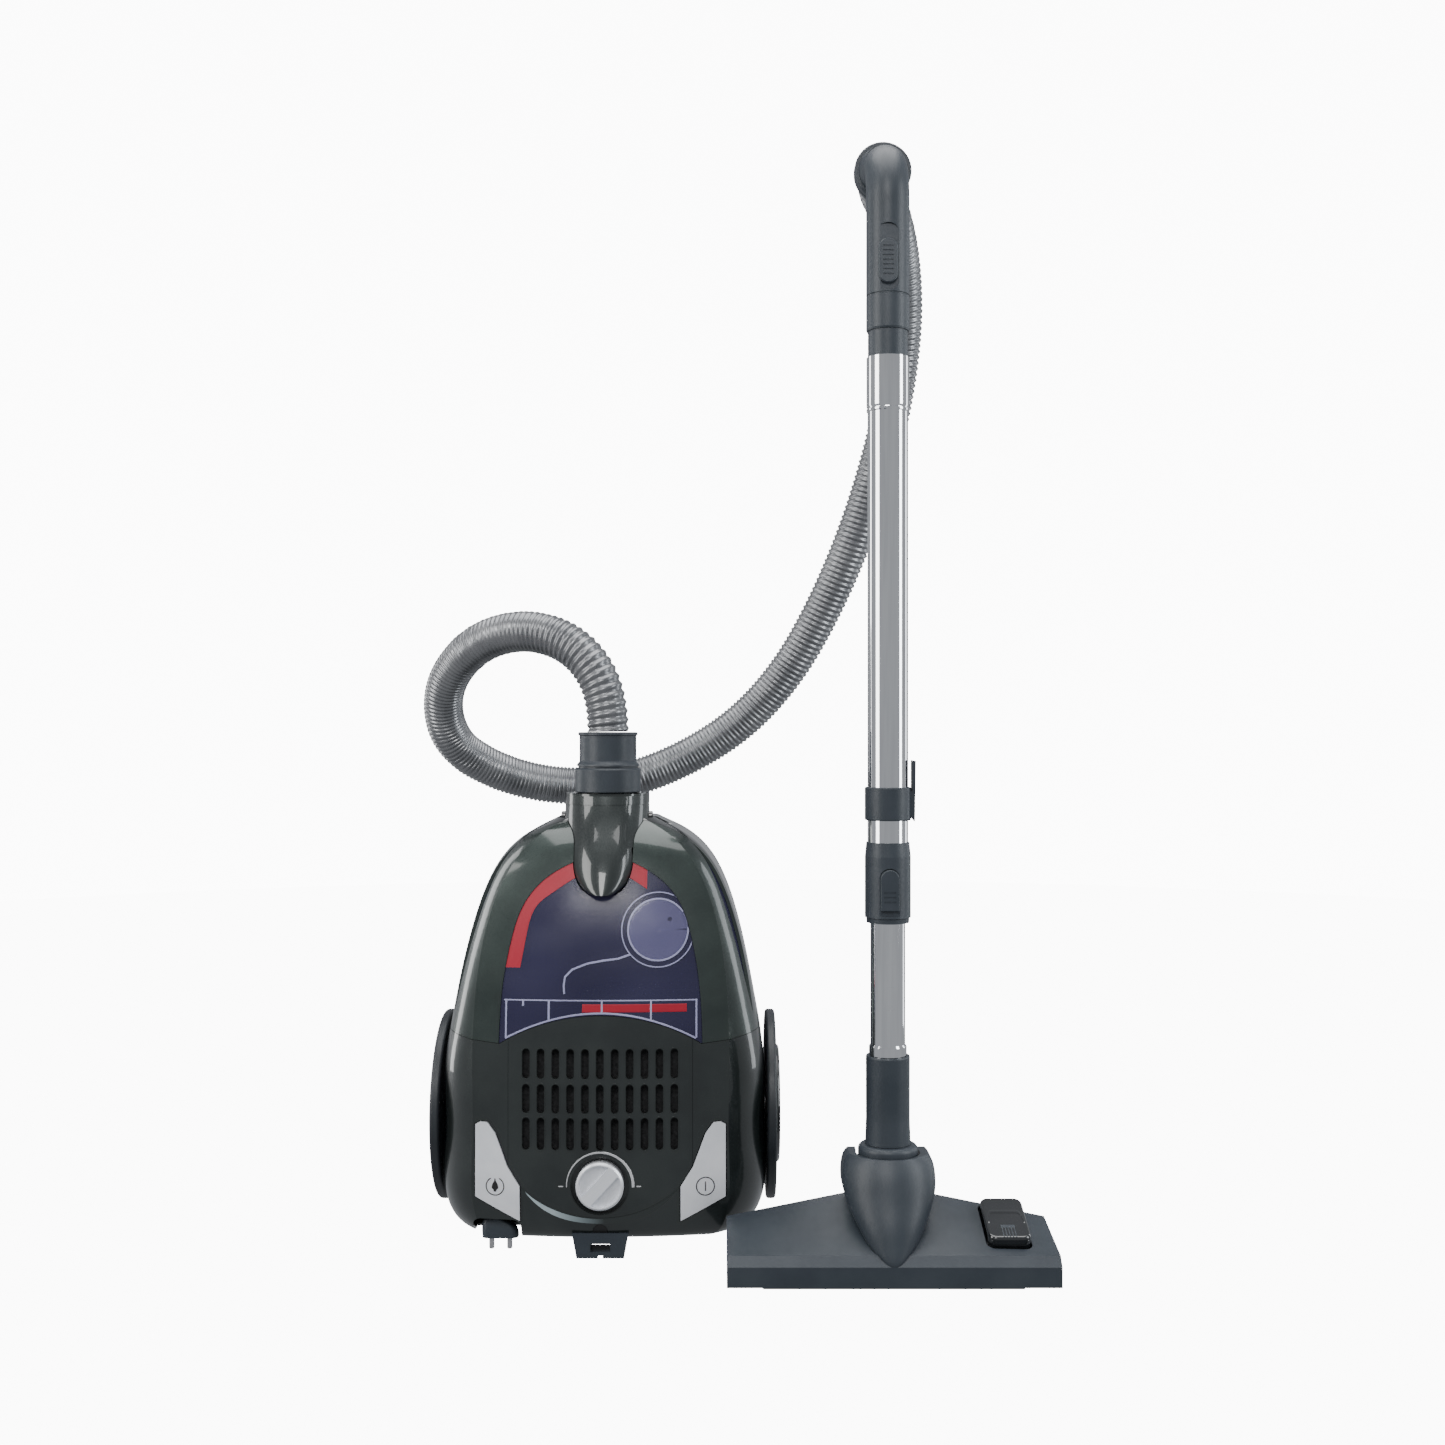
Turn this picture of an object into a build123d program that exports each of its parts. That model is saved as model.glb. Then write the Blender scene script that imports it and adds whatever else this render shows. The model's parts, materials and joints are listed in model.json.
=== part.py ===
from build123d import *
import math
import os

# A bagless canister vacuum cleaner, parked upright on its rear end beside its
# wand, which stands on the floor nozzle. The hose joins the two.
# Millimetres. +X right, +Y from the cleaner's top side to its underside, +Z up.
# The origin is on the floor, at the middle of the hard parts' outline.

os.makedirs("parts", exist_ok=True)

# ---------------------------------------------------------------- sizes
OVERALL_WIDTH = 550.0
OVERALL_DEPTH = 294.0
WALL = 3.0
GAP = 0.4

# canister
HUB_REACH = 161.0
CANISTER_X = -(OVERALL_WIDTH / 2 - HUB_REACH)
COVER_SPLIT_Y = 20.0
BIN_BACK_Y = 4.0
SEAM_CROWN_Z = 213.0
SEAM_SIDE_Z = 188.0
SEAM_HALF = 89.0
PANEL_HALF = 81.0

# hose inlet
INLET_Y = 35.0
INLET_TOP = 405.3
INLET_RADIUS = 39.0
INLET_BORE = 25.0
CUFF_RADIUS = 26.7
SLEEVE_RADIUS = 30.7
CUFF_TOP = 462.0

# wheels
WHEEL_Y = 59.0
WHEEL_Z = 109.0
WHEEL_RADIUS = 88.0
WHEEL_INNER = 148.0
WHEEL_WIDTH = 9.0
AXLE_RADIUS = 5.0
RUNNING_FIT = 0.05

# wand
NOZZLE_WIDTH = 278.0
WAND_X = OVERALL_WIDTH / 2 - NOZZLE_WIDTH / 2
WAND_Y = -90.0
INNER_TUBE_RADIUS = 15.0
OUTER_TUBE_RADIUS = 17.5
TUBE_WALL = 1.0
GRIP_RADIUS = 18.7
HANDLE_BEND = 40.0
HANDLE_AXIS_Z = 961.0
NUT_RADIUS = 25.5

# nozzle
NOZZLE_FRONT = -OVERALL_DEPTH / 2
NOZZLE_REAR = -64.0
TILT_Z = 50.0

# hose
HOSE_DIAMETER = 40.0

# The canister's outer form, level by level: height, half width, half width at
# the front crease, front at the middle, front at the crease, where the flank
# reaches full width, back, and the back corners' radius.
LEVELS = [
    (16.0, 116.0, 90.0, -50.0, -43.0, 4.0, 108.0, 22.0),
    (24.0, 136.0, 106.0, -62.0, -52.0, 1.0, 121.0, 24.0),
    (42.0, 144.5, 112.0, -66.5, -56.0, 0.0, 127.0, 25.0),
    (100.0, 146.0, 113.0, -67.0, -57.0, 0.0, 128.0, 26.0),
    (165.0, 145.5, 113.5, -67.0, -57.0, 0.0, 128.0, 26.0),
    (203.0, 139.5, 113.0, -64.5, -54.0, 1.0, 128.0, 26.0),
    (248.0, 131.0, 110.0, -58.5, -47.5, 4.0, 127.0, 26.0),
    (286.0, 122.0, 104.0, -50.5, -39.0, 9.0, 124.0, 25.0),
    (322.0, 110.0, 93.0, -40.0, -28.0, 13.0, 118.0, 24.0),
    (351.0, 93.5, 77.0, -28.0, -17.0, 17.0, 109.0, 22.0),
    (371.0, 70.0, 56.0, -14.0, -5.0, 21.0, 99.0, 18.0),
    (383.0, 46.0, 35.0, 0.0, 7.0, 25.0, 88.0, 14.0),
]

# The bin window's right-hand edge, from the bottom to under the inlet.
WINDOW_EDGE = [(90.0, 186.0), (87.5, 235.0), (80.5, 278.0), (70.0, 309.0), (54.0, 329.0), (30.0, 344.0)]
TRIM_WIDTH = 13.0

# The hose's route, from the connector to the nut on the handle.
HOSE_ROUTE = [
    (CANISTER_X, INLET_Y, CUFF_TOP + 0.4),
    (CANISTER_X, INLET_Y, 500.0),
    (CANISTER_X - 30, INLET_Y + 8, 545.0),
    (-196.0, 66.0, 562.0),
    (-250.0, 92.0, 548.0),
    (-287.0, 122.0, 504.0),
    (-283.0, 154.0, 450.0),
    (-236.0, 184.0, 418.0),
    (-174.0, 206.0, 403.0),
    (-108.0, 218.0, 408.0),
    (-42.0, 222.0, 434.0),
    (16.0, 214.0, 472.0),
    (62.0, 200.0, 524.0),
    (97.0, 184.0, 586.0),
    (127.0, 166.0, 656.0),
    (150.0, 148.0, 728.0),
    (166.0, 126.0, 800.0),
    (171.0, 100.0, 868.0),
    (163.0, 66.0, 922.0),
    (147.0, 26.0, 954.0),
    (WAND_X, -2.0, HANDLE_AXIS_Z),
    (WAND_X, WAND_Y + HANDLE_BEND + 24.9, HANDLE_AXIS_Z),
]


# ---------------------------------------------------------------- helpers
def facing(y):
    """A plane square to Y at depth y, seen from the front, whose normal points to the front."""
    return Plane(origin=(0, y, 0), x_dir=(1, 0, 0), z_dir=(0, -1, 0))


def across(x):
    """A plane square to X, with its x direction along +Y and its y direction up."""
    return Plane(origin=(x, 0, 0), x_dir=(0, 1, 0), z_dir=(1, 0, 0))


def level(z):
    """A horizontal plane at height z, centred on the origin."""
    return Plane.XY.offset(z)


def save(piece, name):
    """Label one finished piece and write it."""
    piece.label = name
    export_step(piece, "parts/" + name + ".step")


def level_outline(row, inset):
    """The closed plan outline of the canister at one level, moved in by inset."""
    _, half, crease, front, shoulder, flank, back, corner = row
    x = CANISTER_X
    half, crease = half - inset, crease - 0.8 * inset
    front, shoulder, back = front + inset, shoulder + inset, back - inset
    corner = max(corner - inset, 4.0)
    with BuildSketch(level(row[0])) as outline:
        with BuildLine():
            ThreePointArc((x - crease, shoulder), (x, front), (x + crease, shoulder))
            TangentArc((x + half, flank), (x + crease, shoulder), tangent=(0, -1))
            Line((x + half, flank), (x + half, back - corner))
            TangentArc((x + half, back - corner), (x + half - corner, back), tangent=(0, 1))
            Line((x + half - corner, back), (x - half + corner, back))
            TangentArc((x - half, back - corner), (x - half + corner, back), tangent=(0, 1))
            Line((x - half, back - corner), (x - half, flank))
            TangentArc((x - half, flank), (x - crease, shoulder), tangent=(0, -1))
        make_face()
    return outline.sketch


def canister_form(inset):
    """The canister's closed outer form, moved in by inset on every side."""
    rows = [list(row) for row in LEVELS]
    rows[0][0] += inset
    rows[-1][0] -= inset
    with BuildPart() as form:
        add([level_outline(row, inset) for row in rows])
        loft()
    return form.part


def seam_band(lift):
    """Everything under the seam between the dust bin and the lower cover, raised by lift."""
    x = CANISTER_X
    side, crown = SEAM_SIDE_Z + lift, SEAM_CROWN_Z + lift
    with BuildPart() as band:
        with BuildSketch(facing(200)):
            with BuildLine():
                ThreePointArc((x - SEAM_HALF, side), (x, crown), (x + SEAM_HALF, side))
                Polyline(
                    (x + SEAM_HALF, side),
                    (x + 160, side + 8),
                    (x + 160, -10),
                    (x - 160, -10),
                    (x - 160, side + 8),
                    (x - SEAM_HALF, side),
                )
            make_face()
        extrude(amount=400)
    return band.part


def inlet_form(growth):
    """The hose inlet's outer form: a round neck that swells forward to a rounded tip."""
    x = CANISTER_X
    tip_z, turn_z = 316.0, 368.0
    heights = [INLET_TOP, 386.0, turn_z, 350.0, 335.0, 324.0, tip_z + 1.5]
    fronts = [-3.0, -13.0, -25.5, -38.0, -46.0, -50.5, -53.0]
    with BuildPart() as form:
        for z, front in zip(heights, fronts):
            fall = max(turn_z - z, 0) / (turn_z - tip_z)
            half = INLET_RADIUS * math.sqrt(1 - fall**2) + growth
            depth = min(half, INLET_RADIUS) * 0.9
            with BuildSketch(level(z - growth if z < turn_z else z)):
                with BuildLine():
                    ThreePointArc((x - half, front + depth), (x, front - growth), (x + half, front + depth))
                    Polyline(
                        (x + half, front + depth),
                        (x + half, COVER_SPLIT_Y + 15),
                        (x - half, COVER_SPLIT_Y + 15),
                        (x - half, front + depth),
                    )
                make_face()
        loft()
        with BuildSketch(level(352)):
            with Locations((x, INLET_Y)):
                Circle(INLET_RADIUS + growth)
        extrude(amount=INLET_TOP - 352)
    return form.part


def window_prism(inset, low):
    """The bin window's outline, drawn in by inset, carried from front to back."""
    x = CANISTER_X
    right = [(px - inset, pz) for px, pz in WINDOW_EDGE[:-2]]
    right += [(px - 0.7 * inset, pz - 0.8 * inset) for px, pz in WINDOW_EDGE[-2:]]
    right[0] = (right[0][0], low)
    top = (0.0, WINDOW_EDGE[-1][1] + 8 - inset)
    left = [(-px, pz) for px, pz in reversed(right)]
    with BuildPart() as block:
        with BuildSketch(facing(60)):
            with BuildLine():
                Spline(*[(x + px, pz) for px, pz in right + [top] + left])
                Line((x + left[-1][0], low), (x + right[0][0], low))
            make_face()
        extrude(amount=180)
    return block.part


outer = canister_form(0)
inner = canister_form(WALL)
proud = canister_form(-1.5)
pad = canister_form(0.7)
pedal_back = canister_form(3.5)
bin_outer = canister_form(WALL + 0.2)
bin_inner = canister_form(WALL + 2.4)
inlet_solid = inlet_form(0)
inlet_clear = inlet_form(0.8)
inlet_wall = inlet_form(3.0)
below_seam = seam_band(0)
above_seam_cut = seam_band(GAP)
bin_floor_cut = seam_band(GAP + 2.2)
bulkhead_top = seam_band(-0.2)
cradle_foot = seam_band(-2.8)

# ---------------------------------------------------------------- canister shells
WHEEL_SIDES = (-1, 1)
PEDAL_OUTLINE = [(110.3, 53.7), (110.3, 117.0), (106.0, 119.4), (99.5, 119.0), (92.5, 109.5),
                 (81.7, 80.9), (70.7, 63.7), (70.7, 32.6)]
PANEL_FLOOR = [(-PANEL_HALF, 79.0), (-68.5, 62.0), (-52.0, 50.0), (-30.0, 40.5), (0.0, 36.5)]


def pedal_prism(side, clearance):
    """One pedal's outline on the left (-1) or right (1), grown by clearance."""
    points = [(CANISTER_X + side * px, pz) for px, pz in PEDAL_OUTLINE]
    with BuildPart() as block:
        with BuildSketch(facing(-30)):
            with BuildLine():
                Polyline(*points, close=True)
            make_face()
            if clearance > 0:
                offset(amount=clearance, kind=Kind.INTERSECTION)
        extrude(amount=60)
    return block.part


def panel_prism(clearance):
    """The centre panel's outline, between its two seams and down to its rounded lower edge."""
    left = [(CANISTER_X + px, pz - clearance) for px, pz in PANEL_FLOOR]
    right = [(2 * CANISTER_X - px, pz) for px, pz in reversed(left[:-1])]
    edge = PANEL_HALF + clearance
    with BuildPart() as block:
        with BuildSketch(facing(-20)):
            with BuildLine():
                Spline(*(left + right))
                Polyline(
                    right[-1],
                    (CANISTER_X + edge, right[-1][1] + 1),
                    (CANISTER_X + edge, 230),
                    (CANISTER_X - edge, 230),
                    (CANISTER_X - edge, left[0][1] + 1),
                    left[0],
                )
            make_face()
        extrude(amount=70)
    return block.part


panel_block = panel_prism(0)
panel_clear = panel_prism(0.25)
pedal_blocks = {side: pedal_prism(side, 0) for side in WHEEL_SIDES}
pedal_clears = {side: pedal_prism(side, 0.8) for side in WHEEL_SIDES}
CAP_Z = 23.6
CAP_RADIUS = 6.4

# the outline of the glossy strip under the centre panel: a crescent let into the cover
with BuildPart() as accent_block:
    with BuildSketch(facing(-20)):
        with BuildLine():
            Spline(
                (CANISTER_X - 66, 59.0), (CANISTER_X - 34, 41.0), (CANISTER_X, 35.4),
                (CANISTER_X + 34, 41.0), (CANISTER_X + 66, 59.0),
            )
            Spline(
                (CANISTER_X - 66, 59.0), (CANISTER_X - 36, 36.5), (CANISTER_X, 31.0),
                (CANISTER_X + 36, 36.5), (CANISTER_X + 66, 59.0),
            )
        make_face()
    extrude(amount=70)

# the front half of the lower shell
with BuildPart() as main_cover:
    add(outer)
    add(inner, mode=Mode.SUBTRACT)
    add(below_seam, mode=Mode.INTERSECT)
    with Locations((CANISTER_X, COVER_SPLIT_Y + 100, 150)):
        Box(400, 200, 400, mode=Mode.SUBTRACT)
    add(panel_clear, mode=Mode.SUBTRACT)
    for side in WHEEL_SIDES:
        add(pedal_clears[side], mode=Mode.SUBTRACT)
    # the cord outlet under the left pedal
    with BuildSketch(facing(-20)):
        with Locations((CANISTER_X - 92, 20)):
            RectangleRounded(44, 26, 8)
    extrude(amount=60, mode=Mode.SUBTRACT)
    # the round cap's hole
    with BuildSketch(facing(-30)):
        with Locations((CANISTER_X, CAP_Z)):
            Circle(CAP_RADIUS + 0.3)
    extrude(amount=60, mode=Mode.SUBTRACT)
    add(accent_block.part, mode=Mode.SUBTRACT)
save(main_cover.part, "main_cover")

# the exhaust cover: the centre panel with its louvres and the dial's well
GRILLE_COLUMNS = 11
GRILLE_PITCH = 13.04
GRILLE_ROWS = [(171.4, 26.2), (140.8, 25.4), (110.0, 28.2)]
SLOT_WIDTH = 6.6
KNOB_Z = 64.9
KNOB_RADIUS = 21.0
DIAL_WELL_RADIUS = 25.9
DIAL_FLOOR_Y = -58.0

with BuildPart() as exhaust_cover:
    add(outer)
    add(inner, mode=Mode.SUBTRACT)
    add(below_seam, mode=Mode.INTERSECT)
    add(panel_block, mode=Mode.INTERSECT)
    for side in WHEEL_SIDES:
        add(pedal_clears[side], mode=Mode.SUBTRACT)
    for z, length in GRILLE_ROWS:
        with BuildSketch(facing(-30)):
            with Locations((CANISTER_X, z)):
                with GridLocations(GRILLE_PITCH, 1, GRILLE_COLUMNS, 1):
                    SlotOverall(length, SLOT_WIDTH, rotation=90)
        extrude(amount=60, mode=Mode.SUBTRACT)
    with BuildSketch(facing(-30)):
        with Locations((CANISTER_X, KNOB_Z)):
            Circle(DIAL_WELL_RADIUS)
    extrude(amount=60, mode=Mode.SUBTRACT)
    # the dial's well: a shallow cup behind the panel with a hole for the knob's shaft
    with BuildSketch(facing(DIAL_FLOOR_Y + 2)):
        with Locations((CANISTER_X, KNOB_Z)):
            Circle(DIAL_WELL_RADIUS + 1.5)
            Circle(DIAL_WELL_RADIUS - 0.5, mode=Mode.SUBTRACT)
    extrude(amount=7.5)
    with BuildSketch(facing(DIAL_FLOOR_Y + 2)):
        with Locations((CANISTER_X, KNOB_Z)):
            Circle(DIAL_WELL_RADIUS + 1.5)
            Circle(3.0 + RUNNING_FIT, mode=Mode.SUBTRACT)
    extrude(amount=2)
save(exhaust_cover.part, "exhaust_cover")

with BuildPart() as suction_knob:
    with BuildSketch(facing(DIAL_FLOOR_Y - 0.4)):
        with Locations((CANISTER_X, KNOB_Z)):
            Circle(KNOB_RADIUS)
    extrude(amount=13)
    chamfer(suction_knob.faces().sort_by(Axis.Y)[0].edges(), 1.6)
    # two shallow hollows leave the grip bar standing, its end pointing up and right
    with BuildSketch(facing(DIAL_FLOOR_Y - 9.4)):
        with Locations((CANISTER_X, KNOB_Z)):
            Circle(KNOB_RADIUS - 2.6)
            Rectangle(60, 11, rotation=47, mode=Mode.SUBTRACT)
    extrude(amount=10, mode=Mode.SUBTRACT)
    with BuildSketch(facing(DIAL_FLOOR_Y + 8)):
        with Locations((CANISTER_X, KNOB_Z)):
            Circle(3.0)
    extrude(amount=9)
save(suction_knob.part, "suction_knob")

# pedals, standing slightly proud of the cover
for side, name in ((-1, "rewind_pedal"), (1, "power_pedal")):
    with BuildPart() as pedal:
        add(proud)
        add(pedal_back, mode=Mode.SUBTRACT)
        add(pedal_blocks[side], mode=Mode.INTERSECT)
    save(pedal.part, name)

BUTTON_Y = 27.0
BUTTON_Z = 381.0
# room for the buttons' lower halves in the shells around the inlet
with BuildPart() as button_slots:
    with BuildSketch(across(CANISTER_X - 60)):
        with Locations((BUTTON_Y, BUTTON_Z + 4)):
            SlotOverall(26, 12.4, rotation=90)
    extrude(amount=120)

# the underside half of the body shell, with the axle bosses and the caster's socket
CASTER_Z = 318.0
CASTER_SOCKET_Y = 100.0
with BuildPart() as base_shell:
    add(outer)
    add(inner, mode=Mode.SUBTRACT)
    with Locations((CANISTER_X, COVER_SPLIT_Y - 100, 200)):
        Box(400, 200, 500, mode=Mode.SUBTRACT)
    for side in WHEEL_SIDES:
        with BuildSketch(across(CANISTER_X + side * 120)):
            with Locations((WHEEL_Y, WHEEL_Z)):
                Circle(13)
        extrude(amount=side * 24.5)
    with BuildSketch(facing(CASTER_SOCKET_Y + 17)):
        with Locations((CANISTER_X, CASTER_Z)):
            Circle(21)
    extrude(amount=20)
    with BuildSketch(facing(CASTER_SOCKET_Y + 40)):
        with Locations((CANISTER_X, CASTER_Z)):
            Circle(17.5)
    extrude(amount=40, mode=Mode.SUBTRACT)
    with BuildSketch(facing(CASTER_SOCKET_Y + 5)):
        with Locations((CANISTER_X, CASTER_Z)):
            Circle(4.05)
    extrude(amount=20, mode=Mode.SUBTRACT)
    for side in WHEEL_SIDES:
        with BuildSketch(across(CANISTER_X)):
            with Locations((WHEEL_Y, WHEEL_Z)):
                Circle(AXLE_RADIUS)
        extrude(amount=side * 200, mode=Mode.SUBTRACT)
    add(inlet_solid, mode=Mode.SUBTRACT)
    add(button_slots.part, mode=Mode.SUBTRACT)
save(base_shell.part, "base_shell")

# the glossy cradle behind the dust bin, with its rim
with BuildPart() as bin_cradle:
    add(outer)
    add(inner, mode=Mode.SUBTRACT)
    with BuildSketch(facing(BIN_BACK_Y + 3.6)):
        with Locations((CANISTER_X, 290)):
            Rectangle(400, 250)
    extrude(amount=3)
    add(outer, mode=Mode.INTERSECT)
    add(below_seam, mode=Mode.SUBTRACT)
    with Locations((CANISTER_X, COVER_SPLIT_Y + 100, 200)):
        Box(400, 200, 500, mode=Mode.SUBTRACT)
    with Locations((CANISTER_X, BIN_BACK_Y + 0.6 - 100, 200)):
        Box(400, 200, 500, mode=Mode.SUBTRACT)
    add(inlet_solid, mode=Mode.SUBTRACT)
    add(button_slots.part, mode=Mode.SUBTRACT)
save(bin_cradle.part, "bin_cradle")

# the wall between the dust bin and the motor chamber
with BuildPart() as motor_bulkhead:
    add(inner)
    add(bulkhead_top, mode=Mode.INTERSECT)
    add(cradle_foot, mode=Mode.SUBTRACT)
    with Locations((CANISTER_X, BIN_BACK_Y + 3.6 + 100, 200)):
        Box(400, 200, 500, mode=Mode.SUBTRACT)
    with BuildSketch(level(150)):
        with Locations((CANISTER_X + 30, -22)):
            SlotOverall(86, 30)
    extrude(amount=100, mode=Mode.SUBTRACT)
save(motor_bulkhead.part, "motor_bulkhead")

# ---------------------------------------------------------------- feet, clip and small trim
with BuildPart() as park_clip:
    with BuildSketch(facing(-42)):
        with BuildLine():
            Polyline(
                (CANISTER_X - 25, 22),
                (CANISTER_X + 25, 22),
                (CANISTER_X + 21, 0),
                (CANISTER_X - 21, 0),
                close=True,
            )
        make_face()
        with Locations((CANISTER_X, 9.1)):
            Rectangle(17.4, 7, mode=Mode.SUBTRACT)
        with Locations((CANISTER_X, 0)):
            Rectangle(4.4, 5, mode=Mode.SUBTRACT)
    extrude(amount=21)
    add(outer, mode=Mode.SUBTRACT)
save(park_clip.part, "park_clip")

with BuildPart() as parking_feet:
    with BuildSketch(level(0)):
        with Locations((CANISTER_X - 84, 84), (CANISTER_X + 84, 84)):
            Circle(11)
    extrude(amount=16)
    chamfer(parking_feet.edges().group_by(Axis.Z)[0], 1.2)
save(parking_feet.part, "parking_feet")

with BuildPart() as screw_cap:
    add(outer)
    add(inner, mode=Mode.SUBTRACT)
    with BuildSketch(facing(-30)):
        with Locations((CANISTER_X, CAP_Z)):
            Circle(CAP_RADIUS)
    extrude(amount=60, mode=Mode.INTERSECT)
save(screw_cap.part, "screw_cap")

# the glossy strip itself
with BuildPart() as accent_strip:
    add(outer)
    add(inner, mode=Mode.SUBTRACT)
    add(accent_block.part, mode=Mode.INTERSECT)
save(accent_strip.part, "accent_strip")

# ---------------------------------------------------------------- hose inlet
with BuildPart() as inlet_groove:
    add(inlet_solid)
    with Locations((CANISTER_X, 0, 395)):
        Box(200, 300, 1.0, mode=Mode.INTERSECT)
    add(inlet_form(-0.8), mode=Mode.SUBTRACT)

with BuildPart() as inlet_housing:
    add(inlet_solid)
    with BuildSketch(level(INLET_TOP)):
        with Locations((CANISTER_X, INLET_Y)):
            Circle(INLET_BORE)
    extrude(amount=-43, mode=Mode.SUBTRACT)
    with BuildSketch(Plane(origin=(CANISTER_X, INLET_Y - 4, 372), x_dir=(1, 0, 0), z_dir=(0, -0.88, -0.47))):
        Circle(14.5)
    extrude(amount=46, mode=Mode.SUBTRACT)
    with BuildSketch(across(CANISTER_X)):
        with Locations((-14, 349)):
            Circle(12.5)
    extrude(amount=60, mode=Mode.SUBTRACT)
    for side in WHEEL_SIDES:
        with BuildSketch(across(CANISTER_X + side * 32)):
            with Locations((BUTTON_Y, BUTTON_Z)):
                SlotOverall(15.6, 10.6, rotation=90)
        extrude(amount=side * 20, mode=Mode.SUBTRACT)
    add(inlet_groove.part, mode=Mode.SUBTRACT)
save(inlet_housing.part, "inlet_housing")

for side, name in ((-1, "release_button_left"), (1, "release_button_right")):
    with BuildPart() as button:
        with BuildSketch(across(CANISTER_X + side * 35.5)):
            with Locations((BUTTON_Y, BUTTON_Z)):
                SlotOverall(15.0, 10.0, rotation=90)
        extrude(amount=side * 7.2)
        chamfer(button.faces().sort_by(Axis.X)[-1 if side > 0 else 0].edges(), 0.8)
    save(button.part, name)

# the connector on the canister end of the hose: a swivel sleeve and the hose's cuff
with BuildPart() as hose_sleeve:
    with BuildSketch(Plane(origin=(CANISTER_X, INLET_Y, 0), x_dir=(1, 0, 0), z_dir=(0, -1, 0))):
        with BuildLine():
            Polyline(
                (19, 368),
                (INLET_BORE - RUNNING_FIT, 368),
                (INLET_BORE - RUNNING_FIT, INLET_TOP + 0.6),
                (SLEEVE_RADIUS - 0.8, INLET_TOP + 0.6),
                (SLEEVE_RADIUS, INLET_TOP + 1.4),
                (SLEEVE_RADIUS, 427.0),
                (SLEEVE_RADIUS - 1.2, 428.4),
                (28.0, 428.4),
                (28.0, 430.5),
                (19, 430.5),
                close=True,
            )
        make_face()
    revolve(axis=Axis((CANISTER_X, INLET_Y, 0), (0, 0, 1)))
save(hose_sleeve.part, "hose_sleeve")

with BuildPart() as hose_cuff:
    with BuildSketch(Plane(origin=(CANISTER_X, INLET_Y, 0), x_dir=(1, 0, 0), z_dir=(0, -1, 0))):
        with BuildLine():
            Polyline(
                (17, 430.5),
                (29.4, 430.5),
                (29.0, 432.0),
                (27.3, 434.0),
                (CUFF_RADIUS, 435.0),
                (CUFF_RADIUS, 458.6),
                (27.9, 459.4),
                (27.9, 461.2),
                (27.2, CUFF_TOP),
                (17, CUFF_TOP),
                close=True,
            )
        make_face()
    revolve(axis=Axis((CANISTER_X, INLET_Y, 0), (0, 0, 1)))
save(hose_cuff.part, "hose_cuff")

# ---------------------------------------------------------------- dust bin
with BuildPart() as behind_bin:
    with Locations((CANISTER_X, BIN_BACK_Y + 100, 250)):
        Box(400, 200, 500)

# the lens-shaped openings in the frame's flanks
with BuildPart() as flank_lens:
    with BuildSketch(across(CANISTER_X - 160)):
        with BuildLine():
            ThreePointArc((-20, 207), (-21, 290), (1, 362))
            ThreePointArc((1, 362), (-6, 280), (-20, 207))
        make_face()
    extrude(amount=320)
    with Locations((CANISTER_X, 0, 280)):
        Box(100, 200, 300, mode=Mode.SUBTRACT)

with BuildPart() as bin_frame:
    add(outer)
    add(inner, mode=Mode.SUBTRACT)
    add(above_seam_cut, mode=Mode.SUBTRACT)
    add(behind_bin.part, mode=Mode.SUBTRACT)
    add(window_prism(0, 180), mode=Mode.SUBTRACT)
    add(inlet_clear, mode=Mode.SUBTRACT)
    add(flank_lens.part, mode=Mode.SUBTRACT)
save(bin_frame.part, "bin_frame")

window_block = window_prism(0.3, 180)
trim_inner = window_prism(TRIM_WIDTH, 180)
pane_edge = window_prism(TRIM_WIDTH + 0.2, 180)

with BuildPart() as trim_zone:
    with Locations((CANISTER_X - 60, -30, 354)):
        Box(90, 100, 200)
    with Locations((CANISTER_X + 26, -30, 370)):
        Box(28, 100, 100)

with BuildPart() as red_trim:
    add(pad)
    add(bin_outer, mode=Mode.SUBTRACT)
    add(window_block, mode=Mode.INTERSECT)
    add(trim_inner, mode=Mode.SUBTRACT)
    add(trim_zone.part, mode=Mode.INTERSECT)
    add(inlet_clear, mode=Mode.SUBTRACT)
    add(behind_bin.part, mode=Mode.SUBTRACT)
save(red_trim.part, "red_trim")

with BuildPart() as trim_room:
    add(window_block)
    add(pane_edge, mode=Mode.SUBTRACT)
    add(trim_zone.part, mode=Mode.INTERSECT)

# the clear pane that stands forward into the frame's window
with BuildPart() as window_pane:
    add(pad)
    add(bin_outer, mode=Mode.SUBTRACT)
    add(window_block, mode=Mode.INTERSECT)
    add(trim_room.part, mode=Mode.SUBTRACT)
    add(above_seam_cut, mode=Mode.SUBTRACT)
    add(inlet_clear, mode=Mode.SUBTRACT)
    add(behind_bin.part, mode=Mode.SUBTRACT)

# the bin's cavity, and the ribs that stand inside it behind the pane
RIB_SHELF_Z = 226.0
with BuildPart() as bin_cavity:
    add(bin_inner)
    add(bin_floor_cut, mode=Mode.SUBTRACT)
    add(inlet_wall, mode=Mode.SUBTRACT)

rib_back = canister_form(13)
with BuildPart() as bin_ribs:
    with Locations((CANISTER_X, 0, RIB_SHELF_Z)):
        Box(250, 200, 1.8)
    with Locations(*[(CANISTER_X + u, 0, RIB_SHELF_Z - 16) for u in (-47, 0, 43)]):
        Box(1.8, 200, 34)
    with Locations((CANISTER_X - 70, 0, RIB_SHELF_Z - 4)):
        Box(1.8, 200, 8)
    add(bin_inner, mode=Mode.INTERSECT)
    add(rib_back, mode=Mode.SUBTRACT)
    add(above_seam_cut, mode=Mode.SUBTRACT)
    with Locations((CANISTER_X, 100, 226)):
        Box(400, 240, 100, mode=Mode.SUBTRACT)

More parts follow.
